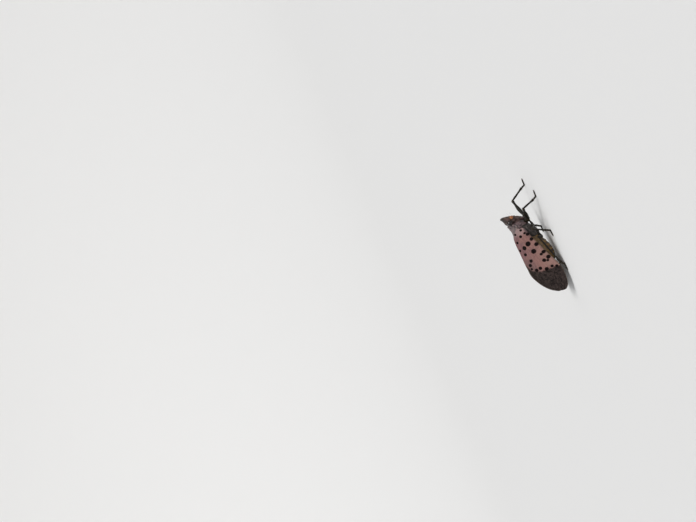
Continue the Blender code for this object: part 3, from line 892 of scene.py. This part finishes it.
lift = 0.11 * keel + 0.13 * edge + 0.08 * eye_rim + 0.07 * socket_rim - 0.08 * groove
lift += 0.022 * ripple(grid, 0.7, 11) - 0.05 * between - 0.1 * dip + 0.012 * wrinkle
shape = Shape().body(
    grid + outwards * lift[..., None],
    keel=np.maximum(np.maximum(keel, eye_rim * 0.7), edge * 0.6),
    groove=np.maximum(groove, dip * 0.5),
    shade=np.clip((height - 9.0) / 0.8, 0, 1) * 0.85,
)
make_piece("head_skin", shape, head_shell, ["head"])

# %% [markdown]
# The eyes are dark, glossy globes of many small lenses. The lenses are too small to model, so they are a fine
# cell pattern in the bump under a clear coat. A small red eyelet sits in front of each eye.

# %% Eyes
def eye_finish():
    f = Finish("eye")
    lens = f.cells(0.045)
    shade = f.noise(0.5, 2)
    return f.give(
        Base_Color=f.mix(shade.rise(0.35, 0.7), (0.007, 0.0035, 0.003), (0.030, 0.010, 0.008)),
        Roughness=0.14 + lens * 0.14,
        Specular_IOR_Level=0.3,
        Coat_Weight=0.3,
        Coat_Roughness=0.06,
        Normal=f.bump(lens.rise(0.55, 0.0), 0.0035),
    )


def eyelet_finish():
    f = Finish("eyelet")
    return f.give(
        Base_Color=f.mix(f.noise(0.08, 2).rise(0.3, 0.7), (0.30, 0.035, 0.012), (0.14, 0.012, 0.008)),
        Roughness=0.15,
        Coat_Weight=0.6,
        Coat_Roughness=0.08,
    )


eye, eyelet = eye_finish(), eyelet_finish()
for side, name in ((1, "left"), (-1, "right")):
    across = np.array([side, 1, 1])
    globe = Shape().body(ball(EYE_CENTRE * across, EYE_RADII, 60, 96))
    make_piece(f"eye_{name}_globe", globe, eye, [f"eye_{name}"])
    dot = Shape().body(ball(np.array([1.38, 7.45, 8.32]) * across, (0.11, 0.11, 0.12), 20, 28))
    make_piece(f"eyelet_{name}", dot, eyelet)

# %% [markdown]
# Each feeler is a short stalk, an orange bulb covered in small warts, and a hair-thin bristle. The warts are
# real bumps: they are what makes the bulb look like a raspberry, and they show in its outline.

# %% Feelers
ANTENNA_WAY = unit(np.array([0.86, -0.34, -0.3]))


def bulb_finish():
    f = Finish("feeler bulb")
    wart, fine = f.mark("keel"), f.noise(0.08, 3)
    colour = f.mix(wart.rise(0.2, 0.8), (0.31, 0.095, 0.028), (0.50, 0.22, 0.080))
    colour = f.mix(f.mark("stalk"), colour, (0.05, 0.03, 0.018))
    return f.give(
        Base_Color=f.mix(fine.rise(0.55, 0.8) * 0.4, colour, (0.55, 0.36, 0.24)),
        Roughness=0.42 + fine * 0.2,
        Subsurface_Weight=0.1,
        Subsurface_Radius=(1.0, 0.4, 0.2),
        Subsurface_Scale=0.0001,
        Normal=f.bump(fine, 0.02),
    )


def feeler():
    reach = np.linspace(0, 0.84, 60)
    radii = [(0, 0.2), (0.1, 0.26), (0.2, 0.24), (0.3, 0.33), (0.52, 0.42), (0.8, 0.38), (0.94, 0.24), (1, 0.1)]
    grid = tube(ANTENNA_ROOT + ANTENNA_WAY * reach[:, None], radii, 72)
    dice = np.random.default_rng(3)
    rows, columns = dice.integers(18, 56, 80), dice.integers(0, 72, 80)
    wart = np.zeros(grid.shape[:2])
    for centre in grid[rows, columns]:
        wart = np.maximum(wart, np.exp(-((np.linalg.norm(grid - centre, axis=-1) / 0.06) ** 2)))
    stalk = np.clip((0.2 - reach) / 0.05, 0, 1)[:, None] + 0 * wart
    shape = Shape().body(grid + normals_of(grid) * (0.04 * wart)[..., None], keel=wart, stalk=stalk)
    foot = tube(line(ANTENNA_ROOT - ANTENNA_WAY * 0.45, ANTENNA_ROOT + ANTENNA_WAY * 0.08, 20), [(0, 0.34), (1, 0.24)], 40)
    shape.body(foot, stalk=np.ones(foot.shape[:2]))
    end = ANTENNA_ROOT + ANTENNA_WAY * 0.8
    bristle = [end, end + (0.35, -0.4, -0.05), end + (0.62, -0.85, 0.05), end + (0.8, -1.3, 0.22)]
    hair = tube(smooth(bristle, np.linspace(0, 1, 30)), [(0, 0.045), (0.15, 0.03), (1, 0.012)], 8)
    return shape.body(hair, stalk=np.ones(hair.shape[:2]))


bulb = bulb_finish()
for side, name in ((feeler(), "left"), (feeler().mirrored(), "right")):
    make_piece(f"feeler_{name}", side, bulb, [f"antenna_{name}"])

# %% [markdown]
# The beak folds back under the body between the legs. It is a jointed sheath with a groove along its lower
# side, so it is a tube whose radius steps at each joint.

# %% Beak
beak_shell = shell_finish("beak shell", (0.030, 0.021, 0.016), (0.014, 0.010, 0.008), (0.10, 0.06, 0.03), 0.15)
BEAK = [(0, 8.7, 4.25), (0, 9.15, 3.62), (0, 10.2, 3.2), (0, 12.2, 2.62), (0, 14.0, 2.12)]

path = smooth(BEAK, np.linspace(0, 1, 120))
radii = [(0, 0.3), (0.12, 0.27), (0.3, 0.26), (0.33, 0.22), (0.36, 0.26), (0.64, 0.24), (0.67, 0.2), (0.7, 0.235),
         (0.95, 0.19), (0.985, 0.12), (1, 0.04)]
grid = tube(path, radii, 40)
joint = np.exp(-(((np.linspace(0, 1, 120)[:, None] - np.array([0.33, 0.67])) / 0.015) ** 2)).max(1)
under = unit(grid - path[:, None])[..., 2] < -0.93
grid[under] += np.array([0, 0, 0.06])
make_piece("beak", Shape().body(grid, groove=joint[:, None] + 0 * grid[..., 0]), beak_shell, ["rostrum"])

# %% [markdown]
# Behind the head sits the collar, a saddle with one keel, two pits beside it and a flared hind rim that lies
# over the shield. It is the front of the trunk tube, slipped a little under the head and drawn out behind.

# %% Collar
def trunk_beyond(start, end, rows, columns, swell):
    """A length of trunk whose ends slip inwards under the neighbours, by a table of place and swell."""
    grid, turn = trunk_skin(max(start, 9.2), end, rows, columns)
    place = np.linspace(0, 1, rows)
    grid[..., 1] = (start + (end - start) * place)[:, None]
    outwards = unit(normals_of(grid) * np.array([1, 0, 1]))
    return grid + outwards * by_column(swell, place)[:, None], turn


grid, turn = trunk_beyond(8.95, 10.42, 110, 220, [(0, -0.5), (0.1, -0.25), (0.2, 0.0), (0.6, 0.06), (0.86, 0.16),
                                                  (0.95, 0.14), (0.985, 0.0), (1, -0.2)])
# The hind rim is hollowed out over the shield and reaches back at the shoulders.
back = np.clip((grid[..., 1] - 9.6) / 0.8, 0, 1)
grid[..., 1] += back * (0.3 * np.clip(np.abs(grid[..., 0]) / 2.0, 0, 1) - 0.22) * (turn > -0.2)
COLLAR_KEELS = [[(0, 9.0), (0, 9.6), (0, 10.3)]] + both_sides([
    [(0.55, 9.1), (0.95, 9.35), (1.45, 9.85), (1.8, 10.4)],
    [(1.3, 9.15), (1.75, 9.4), (2.15, 9.9), (2.3, 10.5)],
])
COLLAR_PITS = both_sides([[(0.44, 9.56), (0.58, 9.62)], [(1.05, 9.85), (1.2, 10.0)]])
above = np.clip((turn + 0.1) / 0.4, 0, 1)
keel = drawn(grid, COLLAR_KEELS, 0.08, [0, 1], above)
pit = drawn(grid, COLLAR_PITS, 0.12, [0, 1], above)
lift = 0.1 * keel - 0.11 * pit + 0.025 * ripple(grid, 0.7, 21)
edge = np.clip((np.linspace(0, 1, 110) - 0.82) / 0.08, 0, 1)[:, None] * (0 * turn + 1)
collar = Shape().body(grid + normals_of(grid) * lift[..., None], keel=np.maximum(keel, edge * 0.6), groove=pit)
make_piece("collar_skin", collar, collar_shell, ["prothorax"])
neck, turn = trunk_beyond(8.55, 9.8, 30, 80, [(0, -0.62), (0.5, -0.4), (1, -0.6)])
make_piece("neck", Shape().body(neck + normals_of(neck) * 0.03 * ripple(neck, 0.5, 23)[..., None]), head_shell)

# %% [markdown]
# The shield is the large rhomb between the shoulders, with three keels and a wrinkled hind corner that slips
# between the wings. It is an arched sheet: its table gives half width, ridge height and arch at each station.

# %% Shield over the back
SHIELD = [
    (10.18, 1.8, 8.97, 0.27),
    (10.5, 2.2, 8.87, 0.28),
    (10.85, 2.32, 8.79, 0.28),
    (11.3, 1.92, 8.75, 0.27),
    (11.9, 1.36, 8.76, 0.24),
    (12.5, 0.78, 8.8, 0.2),
    (13.0, 0.3, 8.82, 0.2),
]


def shield_height(x, station):
    """Height of the shield's upper face."""
    ridge, arch = np.moveaxis(by_column(SHIELD, station)[..., 1:], -1, 0)
    return ridge - arch * x * x


station, across = np.meshgrid(np.linspace(10.05, 13.5, 140), np.linspace(-1, 1, 121), indexing="ij")
outline = [*[row[:2] for row in SHIELD], (13.5, 0.1)]
x = np.interp(station, *np.array(outline).T) * across
height = shield_height(x, station) - 0.2 * np.clip((station - 12.7) / 0.5, 0, 1)
grid = np.stack([x, station, height], -1)
SHIELD_KEELS = [[(0, 10.1), (0, 11.4), (0, 13.2)]] + both_sides([
    [(0.3, 10.2), (0.8, 10.55), (0.98, 11.2), (0.85, 11.8), (0.5, 12.4)],
    [(1.4, 10.3), (1.75, 10.75), (1.62, 11.3)],
])
keel = drawn(grid, SHIELD_KEELS, 0.09, [0, 1], 1.0)
wrinkle = np.sin(station * 2 * math.pi / 0.16 + np.abs(x) * 3) * np.clip((station - 11.9) / 0.6, 0, 1)
border = np.clip((np.abs(across) - 0.9) / 0.1, 0, 1)
lift = 0.09 * keel + 0.02 * wrinkle + 0.06 * border + 0.03 * ripple(grid, 0.9, 31)
outer = grid + normals_of(grid, False) * lift[..., None]
inner = outer - np.array([0, 0, 0.3])
shape = closed_sheet(outer[:, ::-1][:, ::-1], inner, keel=np.maximum(keel, border), groove=1 - keel - border)
make_piece("mesonotum_skin", shape, shield_shell, ["mesonotum"])

# %% [markdown]
# A scale-like flap covers each wing's hinge: an oval shell, thick in front and thin behind, with a raised rim.

# %% Wing flaps
grid = ball((2.88, 10.5, 6.6), (0.3, 0.54, 0.56), 48, 64)
out = (grid - (2.88, 10.5, 6.6)) / (0.3, 0.54, 0.56)
oval = np.hypot(out[..., 1], out[..., 2])
rim = np.exp(-(((oval - 0.86) / 0.1) ** 2)) * (out[..., 0] > 0)
grid[..., 0] -= 0.12 * (out[..., 0] > 0) * np.clip(out[..., 1], 0, 1)
lift = 0.035 * rim + 0.02 * ripple(grid, 0.4, 61)
flap = Shape().body(grid + normals_of(grid) * lift[..., None], keel=rim * 0.5)
for side, name in ((flap, "left"), (flap.mirrored(), "right")):
    make_piece(f"wing_flap_{name}", side, collar_shell, [f"tegula_{name}"])

# %% [markdown]
# The sides of the middle body are plates joined by sutures, where the leg and wing muscles pull. The sutures
# are grooves with a keel beside them. The top is pressed down a little so that it stays under the shield.

# %% Sides of the body
SIDE_GROOVES = both_sides([
    [(2.4, 10.9, 7.2), (2.42, 11.1, 6.0), (2.2, 11.2, 4.8), (1.6, 11.4, 3.9)],
    [(2.3, 12.4, 7.0), (2.32, 12.5, 5.6), (2.1, 12.6, 4.4), (1.4, 12.8, 3.5)],
    [(2.3, 13.4, 6.6), (2.3, 13.6, 5.2), (2.0, 13.7, 4.0), (1.3, 13.9, 3.2)],
    [(2.0, 10.4, 4.9), (2.15, 11.6, 4.5), (2.1, 13.0, 4.2), (2.1, 14.1, 4.0)],
])
SIDE_KEELS = both_sides([
    [(2.4, 10.7, 7.2), (2.42, 10.9, 6.0), (2.2, 11.0, 4.8), (1.6, 11.2, 3.9)],
    [(2.3, 12.2, 7.0), (2.32, 12.3, 5.6), (2.1, 12.4, 4.4), (1.4, 12.6, 3.5)],
])
grid, turn = trunk_beyond(10.0, 14.32, 170, 200, [(0, -0.35), (0.06, -0.06), (0.1, 0.0), (0.93, 0.0), (0.98, -0.05),
                                                  (1, -0.3)])
groove, keel = nearness(grid, SIDE_GROOVES, 0.08), nearness(grid, SIDE_KEELS, 0.1)
lift = 0.08 * keel - 0.12 * groove + 0.04 * ripple(grid, 1.0, 41)
grid = grid + normals_of(grid) * lift[..., None]
roof = shield_height(np.clip(grid[..., 0], -2.3, 2.3), grid[..., 1]) - 0.2
under_shield = (turn > 0) & (grid[..., 1] < 13.2)
grid[..., 2] = np.where(under_shield, np.minimum(grid[..., 2], roof), grid[..., 2])
make_piece("thorax_skin", Shape().body(grid, keel=keel, groove=groove), side_shell, ["thorax"])

# %% [markdown]
# The abdomen is a stack of rings that telescope, each one's rear edge lying over the next. So its radius grows
# slowly along a ring and drops at its end, like the edge of a cup. A fold runs along each flank, where the back
# plates meet the belly plates. The skin between the rings is yellow, and the plates are dark with pale wax.

# %% Abdomen
RING_ENDS = [14.2, 15.3, 16.5, 17.7, 18.9, 20.05, 21.1, 21.95, 22.55, 23.0]


def abdomen_finish():
    f = Finish("abdomen")
    place, turn, _ = f.split(f.mark("address", "Vector"))
    cloud, fine = f.noise(0.6, 4), f.noise(0.12, 3)
    in_ring = place.part() + (cloud - 0.5) * 0.22
    yellow = f.mix(cloud.rise(0.35, 0.7), (0.36, 0.215, 0.055), (0.20, 0.105, 0.038))
    plate = f.mix((cloud + (fine - 0.5) * 0.4).rise(0.4, 0.6), (0.046, 0.031, 0.024), (0.100, 0.066, 0.046))
    upper = (turn + (cloud - 0.5) * 0.5).rise(0.0, 0.35)
    lower = (turn + (cloud - 0.5) * 0.3).rise(-0.45, -0.75)
    band = in_ring.rise(0.2, 0.34) * (1 - in_ring.rise(0.74, 0.9))
    band = band.larger((place + (cloud - 0.5) * 1.5).rise(6.3, 7.2))
    colour = f.mix(band * (0.55 * upper + lower + 0.4), yellow, plate)
    wax = (f.noise(0.35, 5) + f.mark("groove") * 0.35).rise(0.52, 0.78) * 0.5
    colour = f.mix(wax, colour, (0.30, 0.235, 0.175))
    hair = f.noise(0.06, 2)
    return f.give(
        Base_Color=colour,
        Roughness=0.55 + wax * 0.3 - band * 0.1 + (fine - 0.5) * 0.1,
        Specular_IOR_Level=0.25,
        Normal=f.bump(fine * 0.6 + hair * 0.4 + wax * 0.3, 0.04),
    )


grid, turn = trunk_beyond(14.0, 22.95, 420, 170, [(0, -0.3), (0.03, -0.08), (0.06, 0.0), (0.99, 0.0), (1, -0.05)])
ends = np.array(RING_ENDS)
number = np.clip(np.searchsorted(ends, grid[..., 1]) - 1, 0, len(ends) - 2)
share = np.clip((grid[..., 1] - ends[number]) / (ends[number + 1] - ends[number]), 0, 1)
cup = np.where(share < 0.93, (share / 0.93) ** 1.6, (1 - share) / 0.07)
fold = np.exp(-(((turn + 0.12) / 0.13) ** 2))
size = np.clip((23.2 - grid[..., 1]) / 4, 0.25, 1)
lift = size * (0.14 * cup - 0.13 * fold - 0.06) + 0.03 * ripple(grid, 0.9, 51)
grid = grid + normals_of(grid) * lift[..., None]
address = np.stack([number + share, turn, 0 * turn], -1)
make_piece(
    "abdomen_skin",
    Shape().body(grid, address=address, groove=np.maximum(fold, (share > 0.95) * 1.0)),
    abdomen_finish(),
    ["abdomen", "abdomen_tip"],
)

# %% [markdown]
# Each leg has a thick root, a thigh, a shin and a foot of three short joints. The thigh swells and the shin is
# a ridged rod, so both are tubes with their own tables of radii. The joints overlap by a little, since a bent
# knee shows no gap. Bristles are scattered over them, leaning towards the foot.

# %% Legs: measures
LEGS = {
    "front_left": [(1.0, 9.85, 4.7), (2.55, 8.1, 3.6), (4.5, 3.35, 4.75), (4.25, 1.2, 1.2)],
    "front_right": [(-1.0, 9.85, 4.7), (-2.5, 9.5, 3.55), (-6.2, 6.6, 4.2), (-8.0, 5.6, 1.15)],
    "middle_left": [(1.05, 11.6, 3.9), (2.25, 11.5, 3.0), (5.5, 10.4, 4.1), (6.9, 11.9, 1.15)],
    "middle_right": [(-1.05, 11.6, 3.9), (-2.25, 11.9, 3.0), (-5.4, 12.5, 4.0), (-6.9, 14.1, 1.15)],
    "hind_left": [(0.85, 13.6, 3.2), (1.55, 15.2, 2.1), (5.2, 14.5, 3.5), (7.5, 22.7, 0.95)],
    "hind_right": [(-0.85, 13.6, 3.2), (-1.55, 15.2, 2.1), (-5.2, 14.8, 3.5), (-6.2, 23.4, 0.95)],
}
FEET = {
    "front_left": [(4.2, 0.72), (4.05, -0.75)],
    "front_right": [(-8.2, 5.05), (-8.6, 3.7)],
    "middle_left": [(7.15, 12.5), (7.75, 13.85)],
    "middle_right": [(-7.15, 14.65), (-7.75, 16.0)],
    "hind_left": [(7.7, 23.3), (8.15, 24.8)],
    "hind_right": [(-6.32, 24.05), (-6.65, 25.6)],
}
LEG_RADII = {"front": (0.6, 0.38, 0.5, 0.33, 0.28), "middle": (0.58, 0.3, 0.36, 0.28, 0.25),
             "hind": (0.6, 0.32, 0.4, 0.3, 0.27)}
SHIN_TEETH = (0.3, 0.45, 0.6, 0.76)
FOOT_HEIGHT = 0.15

# %% [markdown]
# The legs are nearly black with an olive tint, glossy where the shell is bare and dull where it is dusted.
# Paler joints and a paler shin end break the colour up, as on the real insect.

# %% Legs: finish
def leg_finish():
    f = Finish("leg shell")
    cloud, fine = f.noise(0.5, 4), f.noise(0.07, 3)
    colour = f.mix((cloud + (fine - 0.5) * 0.5).rise(0.35, 0.65), (0.0150, 0.0105, 0.0048), (0.0055, 0.0040, 0.0026))
    colour = f.mix(f.mark("keel") * 0.45, colour, (0.070, 0.046, 0.016))
    dust = f.noise(0.3, 5).rise(0.54, 0.75) * 0.1
    colour = f.mix(dust, colour, (0.16, 0.135, 0.115))
    colour = f.mix(f.mark("bristle"), colour, (0.010, 0.007, 0.005))
    return f.give(
        Base_Color=colour,
        Roughness=0.38 + dust * 0.6 + (fine - 0.5) * 0.15,
        Specular_IOR_Level=0.2,
        Normal=f.bump(fine * 0.7 + cloud * 0.3, 0.025),
    )


def claw_finish():
    f = Finish("claw")
    return f.give(
        Base_Color=f.mix(f.noise(0.1, 2).rise(0.3, 0.7), (0.012, 0.007, 0.004), (0.05, 0.026, 0.010)),
        Roughness=0.25,
        Coat_Weight=0.3,
        Coat_Roughness=0.2,
    )


def pad_finish():
    f = Finish("foot pad")
    fine = f.noise(0.05, 3)
    return f.give(
        Base_Color=f.mix(fine.rise(0.3, 0.7), (0.30, 0.23, 0.12), (0.16, 0.11, 0.06)),
        Roughness=0.6,
        Normal=f.bump(fine, 0.015),
    )


# %% Legs: shapes
def rows_of_bristles(shape, grid, path, count, length, dice, lean=1.1):
    """Bristles scattered over a tube, leaning along it."""
    rows, columns = grid.shape[:2]
    r, c = dice.integers(2, rows - 2, count), dice.integers(0, columns, count)
    way = unit(np.gradient(path, axis=0))[r]
    out = unit(grid[r, c] - path[r])
    lengths = length * dice.uniform(0.6, 1.2, count)
    shape.cones(grid[r, c] - out * 0.02, out + way * lean, lengths, 0.02, bristle=1.0)


def on_floor(grid):
    """The grid with its underside flattened against the floor."""
    grid[..., 2] = np.maximum(grid[..., 2], 0.0)
    return grid


def leg_shape(name, seed):
    pair, side = name.split("_")[0], 1 if name.endswith("left") else -1
    coxa, thigh, swell, knee_size, shin = LEG_RADII[pair]
    body, hip, knee, ankle = [np.array(p) for p in LEGS[name]]
    ball_of_foot, toe = [np.array([*p, FOOT_HEIGHT]) for p in FEET[name]]
    dice, shape = np.random.default_rng(seed), Shape()

    # Root and the small ring that joins it to the thigh
    path = line(body, hip + unit(hip - body) * 0.1)
    radii = [(0, coxa), (0.35, coxa * 1.02), (0.75, thigh * 1.35), (0.93, thigh * 1.2), (1, thigh * 0.7)]
    shape.body(tube(path, radii, 30, 0.04, 3), keel=np.exp(-((np.linspace(0, 1, 40)[:, None] - 0.93) / 0.05) ** 2)
               + np.zeros((40, 30)))
    rows_of_bristles(shape, tube(path, radii, 30), path, 40, 0.16, dice)

    # Thigh
    way = unit(knee - hip)
    swollen = hip + (knee - hip) * 0.42 + np.array([0, 0, 0.12])
    path = smooth([hip - way * 0.15, swollen, knee + way * 0.12], np.linspace(0, 1, 90))
    radii = [(0, thigh * 0.5), (0.04, thigh * 0.95), (0.1, thigh), (0.42, swell), (0.8, knee_size * 0.88),
             (0.93, knee_size * 1.1), (0.98, knee_size * 0.95), (1, knee_size * 0.5)]
    grid = tube(path, radii, 40, 0.035, 4)
    end = np.clip((np.linspace(0, 1, 90)[:, None] - 0.9) / 0.05, 0, 1) + np.zeros((90, 40))
    shape.body(grid, keel=end * 0.7)
    rows_of_bristles(shape, grid, path, 130, 0.2, dice)

    # Shin
    way = unit(ankle - knee)
    path = line(knee - way * 0.05, ankle + way * 0.08, 110)
    radii = [(0, shin * 0.6), (0.03, shin * 0.95), (0.07, shin * 0.8), (0.2, shin * 0.88), (0.8, shin * 0.88),
             (0.93, shin * 1.08), (0.985, shin * 0.95), (1, shin * 0.5)]
    grid = tube(path, radii, 40, 0.07, 5)
    end = np.clip((np.linspace(0, 1, 110)[:, None] - 0.9) / 0.06, 0, 1) + np.zeros((110, 40))
    shape.body(grid, keel=end * 0.5)
    rows_of_bristles(shape, grid, path, 220, 0.2, dice, 1.6)
    crown = grid[104, ::5]
    shape.cones(crown, unit(crown - path[104]) * 0.5 + way, 0.3, 0.05, bristle=0.8)
    if pair == "hind":
        out = np.array([side * 1.0, 0, -0.55])
        out = unit(out - way * (out @ way))
        roots = np.array([path[int(109 * p)] + out * shin * 0.7 for p in SHIN_TEETH])
        shape.cones(roots, out + way * 0.45, 0.55, 0.12, bristle=0.6)
        shape.cones(grid[106, ::8], unit(grid[106, ::8] - path[106]) * 0.7 + way, 0.42, 0.08, bristle=0.7)

    # Foot: three joints
    foot_way = unit(toe - ball_of_foot)
    joints = [
        (ankle - unit(ball_of_foot - ankle) * 0.05, ball_of_foot, 0.16, 0.23),
        (ball_of_foot - foot_way * 0.12, ball_of_foot + foot_way * 0.38, 0.18, 0.22),
        (ball_of_foot + foot_way * 0.26, toe, 0.14, 0.2),
    ]
    for start, stop, thin, thick in joints:
        path = line(start, stop, 36)
        radii = [(0, thin * 0.6), (0.08, thin), (0.75, thick), (0.93, thick), (1, thick * 0.55)]
        grid = on_floor(tube(path, radii, 28))
        shape.body(grid, keel=np.zeros(grid.shape[:2]) + 0.25)
        rows_of_bristles(shape, grid, path, 30, 0.13, dice)
    shape.points = [on_floor(points) for points in shape.points]
    return shape


def claw_shape(name):
    """Two hooked claws, and the pad between them as its own shape."""
    ball_of_foot, toe = [np.array([*p, FOOT_HEIGHT]) for p in FEET[name]]
    way = unit(toe - ball_of_foot)
    across = np.array([way[1], -way[0], 0])
    claws = Shape()
    for side in (1, -1):
        hook = [toe - way * 0.08 + across * side * 0.08 + (0, 0, 0.03),
                toe + way * 0.12 + across * side * 0.2 + (0, 0, 0.07),
                toe + way * 0.3 + across * side * 0.24 + (0, 0, 0.0),
                toe + way * 0.36 + across * side * 0.22 + (0, 0, -0.11)]
        path = smooth(hook, np.linspace(0, 1, 26))
        claws.body(on_floor(tube(path, [(0, 0.075), (0.3, 0.065), (0.8, 0.035), (1, 0.008)], 14)))
    pad = Shape().body(on_floor(ball(toe + way * 0.14 + (0, 0, -0.04), (0.15, 0.15, 0.1), 18, 28)))
    return claws, pad


leg, claw, pad = leg_finish(), claw_finish(), pad_finish()
for seed, name in enumerate(LEGS):
    nodes = [f"{part}_{name}" for part in ("coxa", "femur", "tibia", "tarsus")]
    make_piece(f"leg_{name}", leg_shape(name, seed), leg, nodes)
    hooks, sole = claw_shape(name)
    make_piece(f"claws_{name}", hooks, claw)
    make_piece(f"foot_pad_{name}", sole, pad)

# %% [markdown]
# The studio is a pale bowl: a flat floor that curves up far from the insect, so that no horizon line shows.
# It isn't part of the object, and it is only marked as a stage.

# %% Floor
def floor_finish():
    f = Finish("studio floor")
    return f.give(Base_Color=(0.80, 0.79, 0.775), Roughness=0.85, Specular_IOR_Level=0.2)


reach = np.r_[np.linspace(0.02, 0.9, 12), 0.9 + 0.7 * np.sin(np.linspace(0.05, 1, 24) * math.pi / 2)]
rise = np.r_[np.zeros(12), 0.7 * (1 - np.cos(np.linspace(0.05, 1, 24) * math.pi / 2))]
turns = 2 * math.pi * np.arange(96) / 96
ring = np.stack([np.cos(turns), np.sin(turns)], -1)
grid = np.concatenate([reach[:, None, None] * ring, np.broadcast_to(rise[:, None, None], (36, 96, 1))], -1)
bowl = Shape().body(grid[:, ::-1])
bowl.faces = bowl.faces[: -96]
floor = bpy.data.objects.new("floor", bpy.data.meshes.new("floor"))
floor.data.from_pydata(np.concatenate(bowl.points).tolist(), [], bowl.faces)
floor.data.shade_smooth()
floor.data.materials.append(floor_finish())
bpy.context.scene.collection.objects.link(floor)
floor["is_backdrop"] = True

# %% [markdown]
# The light is that of open shade: a large soft lamp above and in front on the side that the photograph shows,
# a weaker one behind, and an even pale sky. Soft light keeps the small relief readable without hard shadows.

# %% Light
world = bpy.data.worlds.new("sky")
bpy.context.scene.world = world
world.use_nodes = True
world.node_tree.nodes["Background"].inputs["Color"].default_value = (0.93, 0.96, 1.0, 1)
world.node_tree.nodes["Background"].inputs["Strength"].default_value = 0.42


def soft_lamp(name, place, wide, strength):
    """A far lamp that shines from its place to the middle, and looks that many degrees wide."""
    lamp = bpy.data.lights.new(name, "SUN")
    lamp.angle, lamp.energy = math.radians(wide), strength
    light = bpy.data.objects.new(name, lamp)
    light.location = place
    light.rotation_mode = "QUATERNION"
    light.rotation_quaternion = (-Vector(place)).to_track_quat("-Z", "Y")
    bpy.context.scene.collection.objects.link(light)


soft_lamp("main lamp", (-0.42, -0.28, 0.5), 30, 1.9)
soft_lamp("back lamp", (0.5, 0.2, 0.4), 50, 0.6)

# %% [markdown]
# The photograph was taken from the insect's right, a little above the surface it sits on, with that surface
# standing nearly upright. Here the surface is the floor, so the camera is rolled instead: the insect's
# forward and upward directions are placed where they are in the picture.

# %% Camera
PHOTO_SIZE = (696, 522)
INSECT_MIDDLE = (18.6, 5.2)
INSECT_PIXEL = (536.0, 253.3)
PIXELS_PER_MM = 3.8
LENS, SENSOR = 100.0, 36.0
LOOK_DOWN = math.radians(6.5)
FORWARD_IN_PHOTO = (-0.4056, 0.914)

focal = LENS / SENSOR * PHOTO_SIZE[0]
look = Vector((math.cos(LOOK_DOWN), 0, -math.sin(LOOK_DOWN)))
upward = Vector((math.sin(LOOK_DOWN), 0, math.cos(LOOK_DOWN)))
forward = Vector((0, -1, 0))
right = FORWARD_IN_PHOTO[0] * forward - FORWARD_IN_PHOTO[1] * upward
top = FORWARD_IN_PHOTO[1] * forward + FORWARD_IN_PHOTO[0] * upward
offset = Vector((INSECT_PIXEL[0] - PHOTO_SIZE[0] / 2, PHOTO_SIZE[1] / 2 - INSECT_PIXEL[1], -focal))
turn = offset.rotation_difference(Vector((0, 0, -1))).to_matrix()
camera = bpy.data.objects.new("camera", bpy.data.cameras.new("camera"))
camera.data.lens, camera.data.sensor_width = LENS, SENSOR
camera.data.clip_start, camera.data.clip_end = 0.01, 20
place = Vector(in_frame((0, *INSECT_MIDDLE))) - look * (offset.length / PIXELS_PER_MM * MM)
axes = Matrix((right, top, -look)).transposed()
camera.matrix_world = Matrix.Translation(place) @ (axes @ turn).to_4x4()
bpy.context.scene.collection.objects.link(camera)
bpy.context.scene.camera = camera
bpy.context.scene.view_settings.view_transform = "Standard"

# %% [markdown]
# The last step prints the size of the visible model.

# %% Sizes and finish
low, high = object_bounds()
print("visible box in mm:", [round(1000 * s, 1) for s in high - low])
